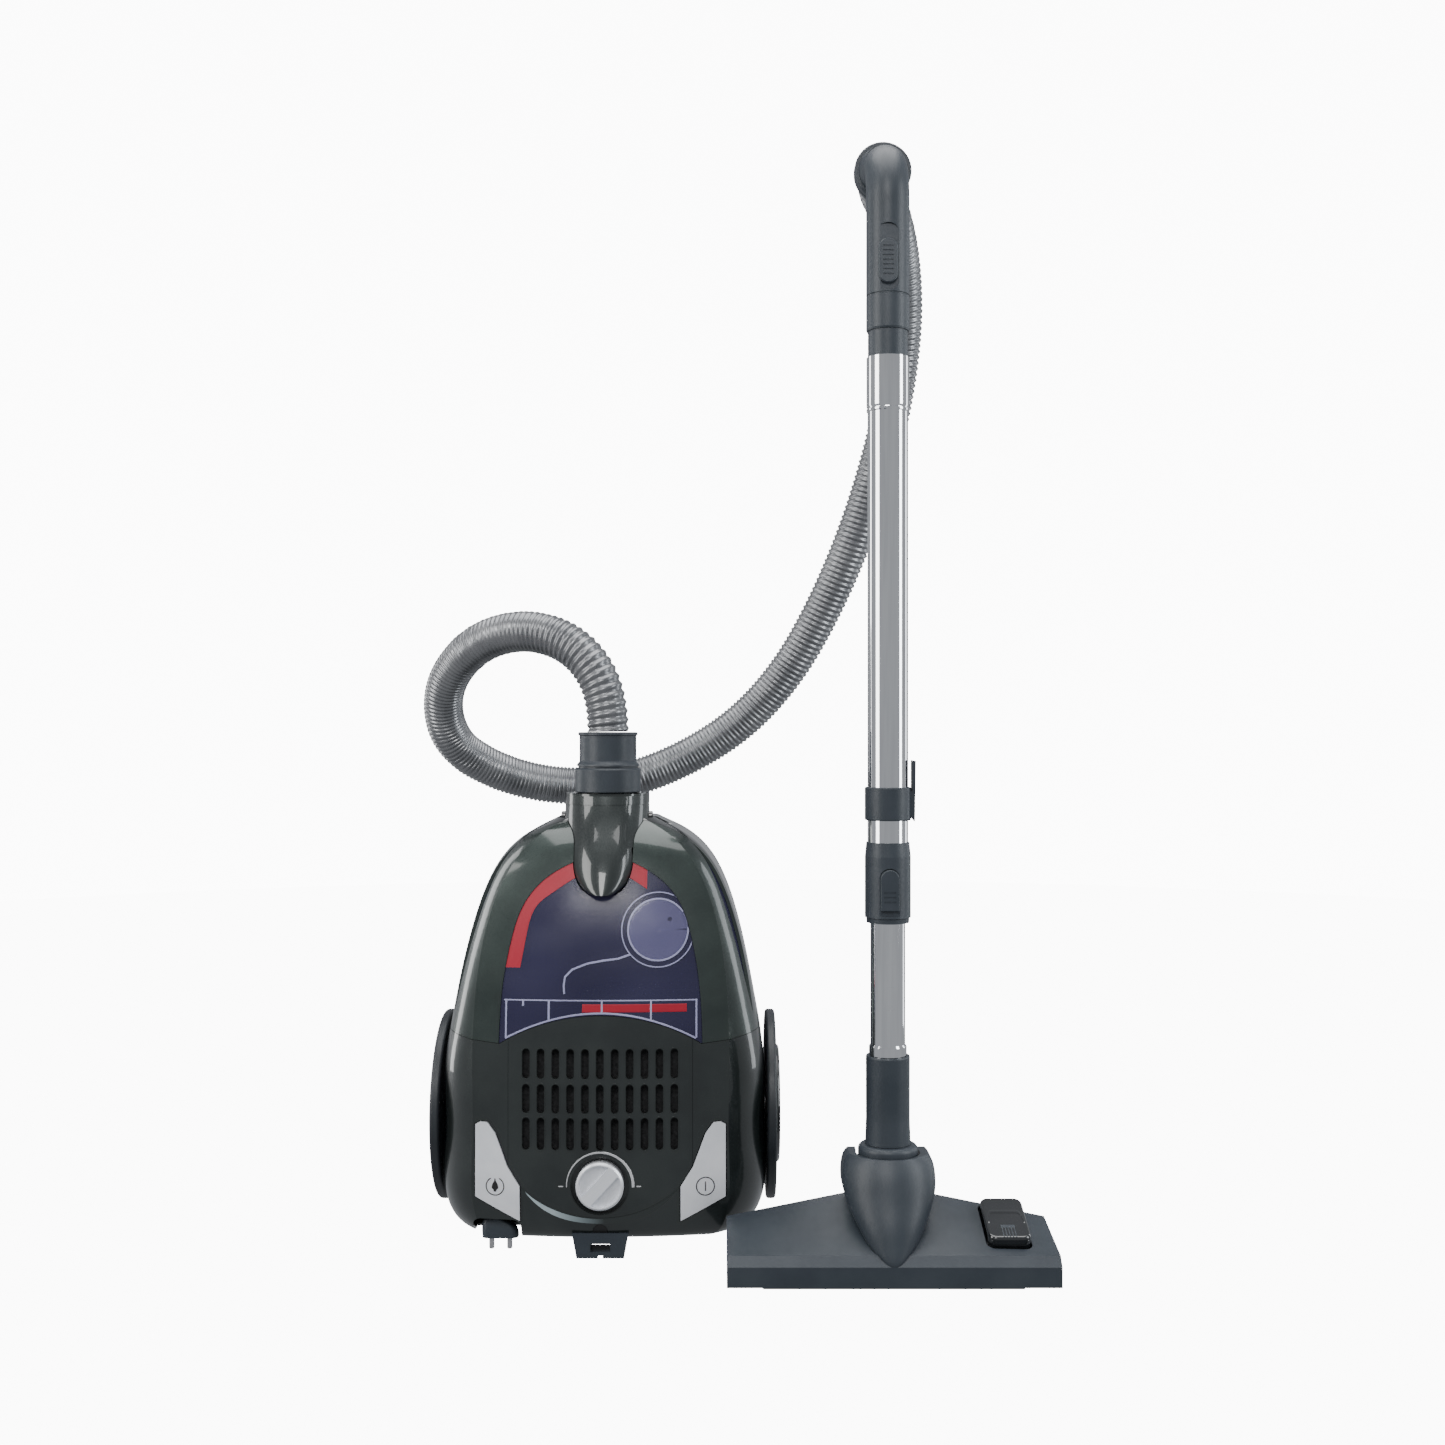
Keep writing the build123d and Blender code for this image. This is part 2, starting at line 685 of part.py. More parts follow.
with BuildPart() as bin_body:
    add(bin_outer)
    add(above_seam_cut, mode=Mode.SUBTRACT)
    add(inlet_clear, mode=Mode.SUBTRACT)
    add(bin_cavity.part, mode=Mode.SUBTRACT)
    add(behind_bin.part, mode=Mode.SUBTRACT)
    add(window_pane.part)
    add(bin_ribs.part)
    with BuildSketch(across(CANISTER_X + 30)):
        with Locations((-14, 349)):
            Circle(12.5)
    extrude(amount=20, mode=Mode.SUBTRACT)
    with BuildSketch(level(180)):
        with Locations((CANISTER_X + 30, -22)):
            SlotOverall(80, 24)
    extrude(amount=38, mode=Mode.SUBTRACT)
save(bin_body.part, "bin_body")

# the cyclone: a clear tube on the bin's axis with a guide wall curling away from it
CYCLONE_X = CANISTER_X + 49.4
CYCLONE_Z = 284.0
CYCLONE_RADIUS = 33.0
CYCLONE_DEPTH = 31.0
with BuildPart() as cyclone_tube:
    with BuildSketch(facing(BIN_BACK_Y - 0.6)):
        with Locations((CYCLONE_X, CYCLONE_Z)):
            Circle(CYCLONE_RADIUS)
            Circle(CYCLONE_RADIUS - 2, mode=Mode.SUBTRACT)
    extrude(amount=CYCLONE_DEPTH)
    with BuildSketch(facing(BIN_BACK_Y - 18)):
        with Locations((CYCLONE_X, CYCLONE_Z)):
            Circle(CYCLONE_RADIUS - 1)
            Circle(26, mode=Mode.SUBTRACT)
    extrude(amount=8)
    with BuildSketch(facing(BIN_BACK_Y - 0.6)):
        with BuildLine():
            Spline(
                (CYCLONE_X - 30.5, CYCLONE_Z - 10),
                (CYCLONE_X - 40, CYCLONE_Z - 24),
                (CYCLONE_X - 62, CYCLONE_Z - 30),
                (CYCLONE_X - 80, CYCLONE_Z - 37),
                (CYCLONE_X - 83, CYCLONE_Z - 52),
            )
        trace(line_width=2)
    extrude(amount=CYCLONE_DEPTH)
save(cyclone_tube.part, "cyclone_tube")

with BuildPart() as filter_frame:
    with Locations((CANISTER_X + 32, -17, 221.4)):
        Box(104, 36, 9.6)
    with Locations(*[(CANISTER_X + u, -17, 223.4) for u in range(-12, 78, 8)]):
        Box(3, 26, 8, mode=Mode.SUBTRACT)
    with Locations((CANISTER_X + 80, -17, 209)):
        Box(7, 36, 18)
save(filter_frame.part, "filter_frame")

# ---------------------------------------------------------------- wheels and caster
for side, tag in ((-1, "left"), (1, "right")):
    inner_face = CANISTER_X + side * WHEEL_INNER
    with BuildPart() as wheel_disc:
        with BuildSketch(across(inner_face)):
            with Locations((WHEEL_Y, WHEEL_Z)):
                Circle(WHEEL_RADIUS - 8)
                Circle(AXLE_RADIUS + RUNNING_FIT, mode=Mode.SUBTRACT)
        extrude(amount=side * (WHEEL_WIDTH - 1))
    save(wheel_disc.part, tag + "_wheel_disc")
    with BuildPart() as tyre:
        with BuildSketch(across(inner_face)):
            with Locations((WHEEL_Y, WHEEL_Z)):
                Circle(WHEEL_RADIUS)
                Circle(WHEEL_RADIUS - 8, mode=Mode.SUBTRACT)
        extrude(amount=side * WHEEL_WIDTH)
        fillet(tyre.edges().filter_by(GeomType.CIRCLE).filter_by(lambda e: abs(e.radius - WHEEL_RADIUS) < 0.1), 2.8)
    save(tyre.part, tag + "_tyre")
    with BuildPart() as hubcap:
        with BuildSketch(across(inner_face + side * (WHEEL_WIDTH - 1))):
            with Locations((WHEEL_Y, WHEEL_Z)):
                Circle(55)
        extrude(amount=side * (HUB_REACH - WHEEL_INNER - WHEEL_WIDTH + 1))
        fillet(hubcap.faces().sort_by(Axis.X)[-1 if side > 0 else 0].edges(), 3.2)
        with BuildSketch(across(inner_face + side * (WHEEL_WIDTH - 1))):
            with Locations((WHEEL_Y, WHEEL_Z)):
                Circle(12)
        extrude(amount=side * 3, mode=Mode.SUBTRACT)
    save(hubcap.part, tag + "_hubcap")

with BuildPart() as wheel_axles:
    for side in WHEEL_SIDES:
        with BuildSketch(across(CANISTER_X + side * 116)):
            with Locations((WHEEL_Y, WHEEL_Z)):
                Circle(AXLE_RADIUS)
        extrude(amount=side * (WHEEL_INNER + WHEEL_WIDTH - 116))
        with BuildSketch(across(CANISTER_X + side * (WHEEL_INNER + WHEEL_WIDTH - 0.7))):
            with Locations((WHEEL_Y, WHEEL_Z)):
                Circle(AXLE_RADIUS + 3)
        extrude(amount=side * 1.8)
save(wheel_axles.part, "wheel_axles")

CASTER_WHEEL_Y = 134.5
CASTER_WHEEL_Z = CASTER_Z - 9.0
CASTER_WHEEL_RADIUS = 12.0
with BuildPart() as caster_fork:
    with BuildSketch(facing(CASTER_SOCKET_Y + 7)):
        with Locations((CANISTER_X, CASTER_Z)):
            Circle(16.8)
    extrude(amount=6.6)
    with BuildSketch(facing(CASTER_SOCKET_Y + 3)):
        with Locations((CANISTER_X, CASTER_Z)):
            Circle(4.0)
    extrude(amount=12)
    for x in (-10.0, 7.0):
        with BuildSketch(across(CANISTER_X + x)):
            with BuildLine():
                Polyline(
                    (CASTER_SOCKET_Y + 5, CASTER_Z + 10),
                    (CASTER_SOCKET_Y + 5, CASTER_Z - 11),
                    (CASTER_WHEEL_Y - 2, CASTER_WHEEL_Z - 7),
                    (CASTER_WHEEL_Y + 5, CASTER_WHEEL_Z - 3),
                    (CASTER_WHEEL_Y + 5, CASTER_WHEEL_Z + 4),
                    close=True,
                )
            make_face()
        extrude(amount=3)
    with BuildSketch(across(CANISTER_X - 8)):
        with Locations((CASTER_WHEEL_Y, CASTER_WHEEL_Z)):
            Circle(2.0)
    extrude(amount=16)
save(caster_fork.part, "caster_fork")

with BuildPart() as caster_wheel:
    with BuildSketch(across(CANISTER_X - 6.5)):
        with Locations((CASTER_WHEEL_Y, CASTER_WHEEL_Z)):
            Circle(CASTER_WHEEL_RADIUS)
            Circle(2.0 + RUNNING_FIT, mode=Mode.SUBTRACT)
    extrude(amount=13)
    fillet(caster_wheel.edges().filter_by(GeomType.CIRCLE).filter_by(lambda e: abs(e.radius - CASTER_WHEEL_RADIUS) < 0.1), 2)
save(caster_wheel.part, "caster_wheel")

# ---------------------------------------------------------------- inside the canister
MOTOR_X = CANISTER_X + 36.0
MOTOR_Y = 38.0
with BuildPart() as motor_can:
    with BuildSketch(level(60)):
        with Locations((MOTOR_X, MOTOR_Y)):
            Circle(49)
    extrude(amount=96)
    with BuildSketch(level(63)):
        with Locations((MOTOR_X, MOTOR_Y)):
            Circle(46)
    extrude(amount=90, mode=Mode.SUBTRACT)
    with BuildSketch(level(60)):
        with Locations((MOTOR_X, MOTOR_Y)):
            Circle(4.05)
            with PolarLocations(28, 6):
                Circle(8)
    extrude(amount=3, mode=Mode.SUBTRACT)
    with BuildSketch(level(153)):
        with Locations((MOTOR_X, MOTOR_Y)):
            Circle(20)
    extrude(amount=3, mode=Mode.SUBTRACT)

with BuildPart() as motor_stator:
    with BuildSketch(level(66)):
        with Locations((MOTOR_X, MOTOR_Y)):
            Circle(45.6)
            Circle(24, mode=Mode.SUBTRACT)
            with PolarLocations(36, 6):
                Circle(7, mode=Mode.SUBTRACT)
    extrude(amount=34)
save(motor_stator.part, "motor_stator")

with BuildPart() as motor_rotor:
    with BuildSketch(level(58)):
        with Locations((MOTOR_X, MOTOR_Y)):
            Circle(4.0)
    extrude(amount=90)
    with BuildSketch(level(68)):
        with Locations((MOTOR_X, MOTOR_Y)):
            Circle(22.5)
    extrude(amount=30)
save(motor_rotor.part, "motor_rotor")

with BuildPart() as impeller:
    with BuildSketch(level(124)):
        with Locations((MOTOR_X, MOTOR_Y)):
            Circle(43)
            Circle(4.0, mode=Mode.SUBTRACT)
    extrude(amount=2)
    with BuildSketch(level(126)):
        with Locations((MOTOR_X, MOTOR_Y)):
            Circle(12)
            Circle(4.0, mode=Mode.SUBTRACT)
            with PolarLocations(26, 9):
                Rectangle(31, 2, rotation=24)
    extrude(amount=14)
    with BuildSketch(level(140)):
        with Locations((MOTOR_X, MOTOR_Y)):
            Circle(43)
            Circle(19, mode=Mode.SUBTRACT)
    extrude(amount=2)
save(impeller.part, "impeller")

with BuildPart() as motor_mounts:
    with Locations((MOTOR_X, 97, 74), (MOTOR_X, 97, 142)):
        Box(64, 52, 6)
    with BuildSketch(level(50)):
        with Locations((MOTOR_X, MOTOR_Y)):
            Circle(48)
    extrude(amount=120, mode=Mode.SUBTRACT)

with BuildPart() as motor_housing:
    add(motor_can.part)
    add(motor_mounts.part)
save(motor_housing.part, "motor_housing")

# the foam pads before and after the motor
with BuildPart() as filter_pads:
    with Locations((CANISTER_X + 30, -22, 184)):
        Box(88, 34, 12)
    with Locations((CANISTER_X, -52, 139.5)):
        Box(140, 9, 93)
save(filter_pads.part, "filter_pads")

with BuildPart() as circuit_board:
    with Locations((CANISTER_X + 101, 10, 118)):
        Box(1.8, 76, 70)
    with Locations((CANISTER_X + 98, -6, 128), (CANISTER_X + 98, 26, 108)):
        Box(4.4, 18, 24)
    with Locations((CANISTER_X + 95, -38, 64)):
        Box(22, 22, 26)
save(circuit_board.part, "circuit_board")

REEL_Y = 36.0
REEL_Z = 104.0
REEL_OUTER_FACE = CANISTER_X - 114.0
REEL_WIDTH = 42.0
with BuildPart() as cord_reel:
    for start, thick, radius in ((0, 2.4, 62), (2.4, REEL_WIDTH - 4.8, 22), (REEL_WIDTH - 2.4, 2.4, 62)):
        with BuildSketch(across(REEL_OUTER_FACE + start)):
            with Locations((REEL_Y, REEL_Z)):
                Circle(radius)
                Circle(6.0 + RUNNING_FIT, mode=Mode.SUBTRACT)
        extrude(amount=thick)
save(cord_reel.part, "cord_reel")

with BuildPart() as wound_cord:
    with BuildSketch(across(REEL_OUTER_FACE + 2.8)):
        with Locations((REEL_Y, REEL_Z)):
            Circle(57)
            Circle(22.3, mode=Mode.SUBTRACT)
    extrude(amount=REEL_WIDTH - 5.6)
save(wound_cord.part, "wound_cord")

with BuildPart() as reel_bracket:
    with BuildSketch(across(REEL_OUTER_FACE - 3)):
        with Locations((REEL_Y, REEL_Z)):
            Circle(6.0)
    extrude(amount=REEL_WIDTH + 8)
    with Locations((REEL_OUTER_FACE + REEL_WIDTH + 4.5, REEL_Y + 39, REEL_Z)):
        Box(5, 96, 30)
save(reel_bracket.part, "reel_bracket")

# the plug, drawn back against the cord outlet, its prongs pointing down
PLUG_X = CANISTER_X - 90.0
PLUG_Y = -43.0
with BuildPart() as plug_body:
    with BuildSketch(level(13.5)):
        with Locations((PLUG_X, PLUG_Y)):
            RectangleRounded(32, 14, 5.5)
    with BuildSketch(level(24)):
        with Locations((PLUG_X - 2, PLUG_Y)):
            RectangleRounded(29, 13, 5.5)
    with BuildSketch(level(30)):
        with Locations((PLUG_X - 7, PLUG_Y)):
            RectangleRounded(16, 10, 4)
    loft()
save(plug_body.part, "plug_body")

with BuildPart() as plug_prongs:
    with BuildSketch(level(2.6)):
        with Locations((PLUG_X - 8, PLUG_Y), (PLUG_X + 8, PLUG_Y)):
            Circle(2.4)
    extrude(amount=10.9)
    fillet(plug_prongs.edges().group_by(Axis.Z)[0], 1.2)
save(plug_prongs.part, "plug_prongs")

# ---------------------------------------------------------------- wand
def turned(points, x=WAND_X, y=WAND_Y):
    """A round piece about the upright line at x, y, from its half section of radii and heights."""
    with BuildPart() as piece:
        with BuildSketch(Plane(origin=(x, y, 0), x_dir=(1, 0, 0), z_dir=(0, -1, 0))):
            with BuildLine():
                Polyline(*points, close=True)
            make_face()
        revolve(axis=Axis((x, y, 0), (0, 0, 1)))
    return piece.part


TUBE_TOP = 785.0
SWAGE_Z = 740.0
SLEEVE_LOW = 303.0
SLEEVE_HIGH = 357.0
NECK_TOP = 184.4
COLLAR_TOP = 108.5
BORE = INNER_TUBE_RADIUS - 1.2

with BuildPart() as outer_tube:
    add(turned([
        (OUTER_TUBE_RADIUS - TUBE_WALL, 330),
        (OUTER_TUBE_RADIUS, 330),
        (OUTER_TUBE_RADIUS, SWAGE_Z - 2),
        (OUTER_TUBE_RADIUS + 0.9, SWAGE_Z - 1.2),
        (OUTER_TUBE_RADIUS + 0.9, SWAGE_Z + 0.6),
        (OUTER_TUBE_RADIUS + 0.2, SWAGE_Z + 1.4),
        (OUTER_TUBE_RADIUS + 0.9, SWAGE_Z + 3),
        (OUTER_TUBE_RADIUS + 0.9, TUBE_TOP),
        (OUTER_TUBE_RADIUS - 0.2, TUBE_TOP),
        (OUTER_TUBE_RADIUS - 0.2, SWAGE_Z + 3),
        (OUTER_TUBE_RADIUS - TUBE_WALL, SWAGE_Z - 2),
    ]))
save(outer_tube.part, "outer_tube")

# the inner tube, with a row of detents for the catch down its front
DETENT_LOW = 227.5
DETENT_PITCH = 19.4
with BuildPart() as inner_tube:
    add(turned([
        (BORE, 150),
        (INNER_TUBE_RADIUS, 150),
        (INNER_TUBE_RADIUS, NECK_TOP + 0.2),
        (INNER_TUBE_RADIUS + 1.3, NECK_TOP + 0.6),
        (INNER_TUBE_RADIUS + 1.3, NECK_TOP + 8),
        (INNER_TUBE_RADIUS, NECK_TOP + 10),
        (INNER_TUBE_RADIUS, 640),
        (BORE, 640),
    ]))
    with BuildSketch(facing(WAND_Y - INNER_TUBE_RADIUS + 0.8)):
        with Locations(*[(WAND_X, DETENT_LOW + DETENT_PITCH * i) for i in range(14)]):
            SlotOverall(9, 4.6)
    extrude(amount=6, mode=Mode.SUBTRACT)
save(inner_tube.part, "inner_tube")

# the sleeve that joins the tubes, with the catch's pocket
with BuildPart() as tube_sleeve:
    add(turned([
        (INNER_TUBE_RADIUS + RUNNING_FIT, SLEEVE_LOW - 4),
        (18.3, SLEEVE_LOW - 4),
        (18.6, SLEEVE_LOW),
        (19.8, SLEEVE_LOW + 0.6),
        (19.8, SLEEVE_HIGH - 1),
        (18.6, SLEEVE_HIGH + 11),
        (OUTER_TUBE_RADIUS + 0.05, SLEEVE_HIGH + 11),
        (OUTER_TUBE_RADIUS + 0.05, 329.6),
        (INNER_TUBE_RADIUS + RUNNING_FIT, 329.6),
    ]))
    with BuildSketch(facing(WAND_Y - 17.7)):
        with BuildLine():
            Polyline(
                (WAND_X - 8.6, 305.8),
                (WAND_X + 8.6, 305.8),
                (WAND_X + 8.6, 338),
            )
            RadiusArc((WAND_X + 8.6, 338), (WAND_X - 8.6, 338), -8.6)
            Line((WAND_X - 8.6, 338), (WAND_X - 8.6, 305.8))
        make_face()
    extrude(amount=5, mode=Mode.SUBTRACT)
save(tube_sleeve.part, "tube_sleeve")

with BuildPart() as latch_button:
    with BuildSketch(facing(WAND_Y - 18.0)):
        with BuildLine():
            Polyline(
                (WAND_X - 8.0, 310.4),
                (WAND_X + 8.0, 310.4),
                (WAND_X + 8.0, 337.6),
            )
            RadiusArc((WAND_X + 8.0, 337.6), (WAND_X - 8.0, 337.6), -8.0)
            Line((WAND_X - 8.0, 337.6), (WAND_X - 8.0, 310.4))
        make_face()
    extrude(amount=3.6)
    chamfer(latch_button.faces().sort_by(Axis.Y)[0].edges(), 0.7)
    for z in (318, 322, 326):
        with Locations((WAND_X, WAND_Y - 21.6, z)):
            Box(10, 1.0, 1.6, mode=Mode.SUBTRACT)
save(latch_button.part, "latch_button")

# the parking hook: a band round the outer tube with an upright blade on its right
with BuildPart() as park_hook:
    add(turned([
        (OUTER_TUBE_RADIUS + 0.05, 387),
        (19.3, 387),
        (19.9, 388),
        (19.9, 414.4),
        (19.3, 415.4),
        (OUTER_TUBE_RADIUS + 0.05, 415.4),
    ]))
    with BuildSketch(facing(WAND_Y + 6)):
        with BuildLine():
            Polyline(
                (WAND_X + 17.9, 392),
                (WAND_X + 22.8, 386),
                (WAND_X + 23.6, 438),
                (WAND_X + 20.4, 438.7),
                (WAND_X + 20.4, 412),
                (WAND_X + 18.6, 412),
                close=True,
            )
        make_face()
    extrude(amount=12)
save(park_hook.part, "park_hook")

# the handle: a spigot in the tube, a straight grip and a tight bend to the rear
GRIP_LOW = 807.7
BEND_LOW = HANDLE_AXIS_Z - HANDLE_BEND
TAIL_Y = WAND_Y + HANDLE_BEND
with BuildPart() as handle_form:
    add(turned([
        (0, SWAGE_Z + 3.5),
        (OUTER_TUBE_RADIUS - 0.3, SWAGE_Z + 3.5),
        (OUTER_TUBE_RADIUS - 0.3, GRIP_LOW),
        (GRIP_RADIUS - 0.6, GRIP_LOW),
        (GRIP_RADIUS, GRIP_LOW + 1.5),
        (GRIP_RADIUS, 837),
        (GRIP_RADIUS - 0.6, 837.4),
        (GRIP_RADIUS - 0.6, 838.2),
        (GRIP_RADIUS, 838.6),
        (GRIP_RADIUS, BEND_LOW),
        (0, BEND_LOW),
    ]))
    with BuildLine(across(WAND_X)):
        RadiusArc((WAND_Y, BEND_LOW), (TAIL_Y, HANDLE_AXIS_Z), HANDLE_BEND)
    with BuildSketch(Plane(origin=(WAND_X, WAND_Y, BEND_LOW), z_dir=(0, 0, 1))):
        Circle(GRIP_RADIUS)
    sweep()
    with BuildSketch(Plane(origin=(WAND_X, TAIL_Y - 16, HANDLE_AXIS_Z), z_dir=(0, 1, 0))):
        Circle(GRIP_RADIUS - 0.8)
    with BuildSketch(Plane(origin=(WAND_X, TAIL_Y, HANDLE_AXIS_Z), z_dir=(0, 1, 0))):
        Circle(21.8)
    loft()
    with BuildSketch(Plane(origin=(WAND_X, TAIL_Y - 1, HANDLE_AXIS_Z), z_dir=(0, 1, 0))):
        Circle(17.5)
    extrude(amount=14)

with BuildPart() as handle_bore:
    with BuildLine(across(WAND_X)):
        Line((WAND_Y, SWAGE_Z), (WAND_Y, BEND_LOW))
        RadiusArc((WAND_Y, BEND_LOW), (TAIL_Y, HANDLE_AXIS_Z), HANDLE_BEND)
        Line((TAIL_Y, HANDLE_AXIS_Z), (TAIL_Y + 20, HANDLE_AXIS_Z))
    with BuildSketch(Plane(origin=(WAND_X, WAND_Y, SWAGE_Z), z_dir=(0, 0, 1))):
        Circle(15.2)
    sweep()

SLIDER_X = WAND_X - 1.5
with BuildPart() as handle:
    add(handle_form.part)
    add(handle_bore.part, mode=Mode.SUBTRACT)
    with BuildSketch(facing(WAND_Y - 16.9)):
        with Locations((SLIDER_X, 868.3)):
            SlotOverall(57.4, 22, rotation=90)
    extrude(amount=4, mode=Mode.SUBTRACT)
    with BuildSketch(facing(WAND_Y - 10)):
        with Locations((SLIDER_X, 853)):
            SlotOverall(11, 7, rotation=90)
    extrude(amount=20, mode=Mode.SUBTRACT)
save(handle.part, "handle")

with BuildPart() as relief_slider:
    with BuildSketch(facing(WAND_Y - 17.3)):
        with Locations((SLIDER_X, 864.2)):
            SlotOverall(38, 16.6, rotation=90)
    extrude(amount=3.4)
    chamfer(relief_slider.faces().sort_by(Axis.Y)[0].edges(), 0.8)
    with Locations(*[(SLIDER_X, WAND_Y - 20.7, 864.2 + 4 * i) for i in range(-3, 4)]):
        Box(9, 1.2, 1.5, mode=Mode.SUBTRACT)
save(relief_slider.part, "relief_slider")

with BuildPart() as hose_nut:
    with BuildSketch(across(WAND_X)):
        with BuildLine():
            Polyline(
                (TAIL_Y + 0.4, HANDLE_AXIS_Z + 17.5 + RUNNING_FIT),
                (TAIL_Y + 0.4, HANDLE_AXIS_Z + 24.4),
                (TAIL_Y + 1.6, HANDLE_AXIS_Z + NUT_RADIUS),
                (TAIL_Y + 8, HANDLE_AXIS_Z + NUT_RADIUS),
                (TAIL_Y + 9, HANDLE_AXIS_Z + NUT_RADIUS - 0.8),
                (TAIL_Y + 10, HANDLE_AXIS_Z + NUT_RADIUS),
                (TAIL_Y + 15, HANDLE_AXIS_Z + NUT_RADIUS - 0.4),
                (TAIL_Y + 24.5, HANDLE_AXIS_Z + 22.6),
                (TAIL_Y + 24.5, HANDLE_AXIS_Z + 16.5),
                (TAIL_Y + 14, HANDLE_AXIS_Z + 16.5),
                (TAIL_Y + 14, HANDLE_AXIS_Z + 17.5 + RUNNING_FIT),
                close=True,
            )
        make_face()
    revolve(axis=Axis((WAND_X, 0, HANDLE_AXIS_Z), (0, 1, 0)))
save(hose_nut.part, "hose_nut")

# ---------------------------------------------------------------- floor nozzle
with BuildPart() as neck:
    add(turned([
        (15.25, NECK_TOP),
        (18.6, NECK_TOP),
        (19.0, NECK_TOP - 1.2),
        (18.9, 130),
        (19.6, COLLAR_TOP + 0.4),
        (16.95, COLLAR_TOP + 0.4),
        (16.95, 90),
        (13.5, 90),
        (13.5, 149.6),
        (15.05, 149.6),
        (15.05, 176),
    ]))
save(neck.part, "neck")

DRUM_RADIUS = 25.0
DRUM_HALF = 22.0
TRUNNION_RADIUS = 4.0
TRUNNION_REACH = 4.5
SLOT_HALF = 27.0
with BuildPart() as knuckle:
    with BuildSketch(across(WAND_X - DRUM_HALF)):
        with Locations((WAND_Y, TILT_Z)):
            Circle(DRUM_RADIUS)
    extrude(amount=2 * DRUM_HALF)
    with BuildSketch(level(TILT_Z)):
        with Locations((WAND_X, WAND_Y)):
            Circle(24)
    with BuildSketch(level(88)):
        with Locations((WAND_X, WAND_Y)):
            Circle(25.8)
    loft()
    with BuildSketch(level(88)):
        with Locations((WAND_X, WAND_Y)):
            Circle(25.8)
    extrude(amount=COLLAR_TOP - 88)
    fillet(knuckle.edges().group_by(Axis.Z)[-1], 4.5)
    with BuildSketch(across(WAND_X - DRUM_HALF - TRUNNION_REACH)):
        with Locations((WAND_Y, TILT_Z)):
            Circle(TRUNNION_RADIUS)
    extrude(amount=2 * (DRUM_HALF + TRUNNION_REACH))
    with BuildSketch(level(89)):
        with Locations((WAND_X, WAND_Y)):
            Circle(17.0)
    extrude(amount=30, mode=Mode.SUBTRACT)
    with BuildSketch(level(TILT_Z - 30)):
        with Locations((WAND_X, WAND_Y)):
            Circle(13.5)
    extrude(amount=40, mode=Mode.SUBTRACT)
save(knuckle.part, "knuckle")


def nozzle_form(inset):
    """The nozzle head's closed form: highest at the middle, falling to both ends."""
    front, rear = NOZZLE_FRONT + inset, NOZZLE_REAR - inset
    half = NOZZLE_WIDTH / 2 - inset
    with BuildPart() as form:
        for x, top in ((-half, 39.0), (0, 67.0), (half, 39.0)):
            crest = top - inset
            with BuildSketch(across(WAND_X + x)):
                with BuildLine():
                    Polyline(
                        (front, 3),
                        (front, 20 - inset),
                        (front + 7, 27.5 - inset),
                        (rear - 4, crest),
                        (rear, crest - 4),
                        (rear, 3),
                        close=True,
                    )
                make_face()
        loft(ruled=True)
    return form.part


def dome_form(growth):
    """The rounded cover over the neck's pivot, from its pointed foot to its broad top."""
    rows = [(20.0, 8.0, -146.9), (27.0, 15.0, -146.2), (42.0, 26.0, -142.5), (57.0, 34.0, -137.5),
            (74.0, 39.5, -131.0), (88.0, 39.5, -126.0), (97.0, 37.0, -121.5), (101.0, 33.5, -119.0)]
    with BuildPart() as form:
        for z, half, front in rows:
            half, front = half + growth, front - growth
            with BuildSketch(level(z)):
                with BuildLine():
                    ThreePointArc(
                        (WAND_X - half, front + 0.72 * half),
                        (WAND_X, front),
                        (WAND_X + half, front + 0.72 * half),
                    )
                    Polyline(
                        (WAND_X + half, front + 0.72 * half),
                        (WAND_X + half, -72),
                        (WAND_X - half, -72),
                        (WAND_X - half, front + 0.72 * half),
                    )
                make_face()
        loft()
    return form.part


nozzle_outer = nozzle_form(0)
nozzle_inner = nozzle_form(2.6)
dome_outer = dome_form(0)
dome_room = dome_form(0.3)
PEDAL_X = WAND_X + 99.0
PEDAL_Y = -99.0
PEDAL_Z = 37.0
PEDAL_SLOPE = Plane(
    origin=(PEDAL_X, PEDAL_Y, PEDAL_Z),
    x_dir=(1, 0, 0),
    z_dir=(0, -math.sin(math.radians(18)), math.cos(math.radians(18))),
)

with BuildPart() as neck_way:
    # the room in which the neck and its collar swing back
    with BuildSketch(level(19)):
        with Locations((WAND_X, WAND_Y)):
            Circle(27.6)
        with Locations((WAND_X, WAND_Y + 30)):
            Rectangle(2 * SLOT_HALF, 56)
    extrude(amount=100)

with BuildPart() as nozzle_dome:
    add(dome_outer)
    add(neck_way.part, mode=Mode.SUBTRACT)
    with BuildSketch(across(WAND_X - DRUM_HALF - 1.2)):
        with Locations((WAND_Y, TILT_Z)):
            Circle(DRUM_RADIUS + 1.2)
    extrude(amount=2 * (DRUM_HALF + 1.2), mode=Mode.SUBTRACT)
    with BuildSketch(across(WAND_X - DRUM_HALF - TRUNNION_REACH - 1)):
        with Locations((WAND_Y, TILT_Z)):
            Circle(TRUNNION_RADIUS + RUNNING_FIT)
    extrude(amount=2 * (DRUM_HALF + TRUNNION_REACH + 1), mode=Mode.SUBTRACT)
save(nozzle_dome.part, "nozzle_dome")

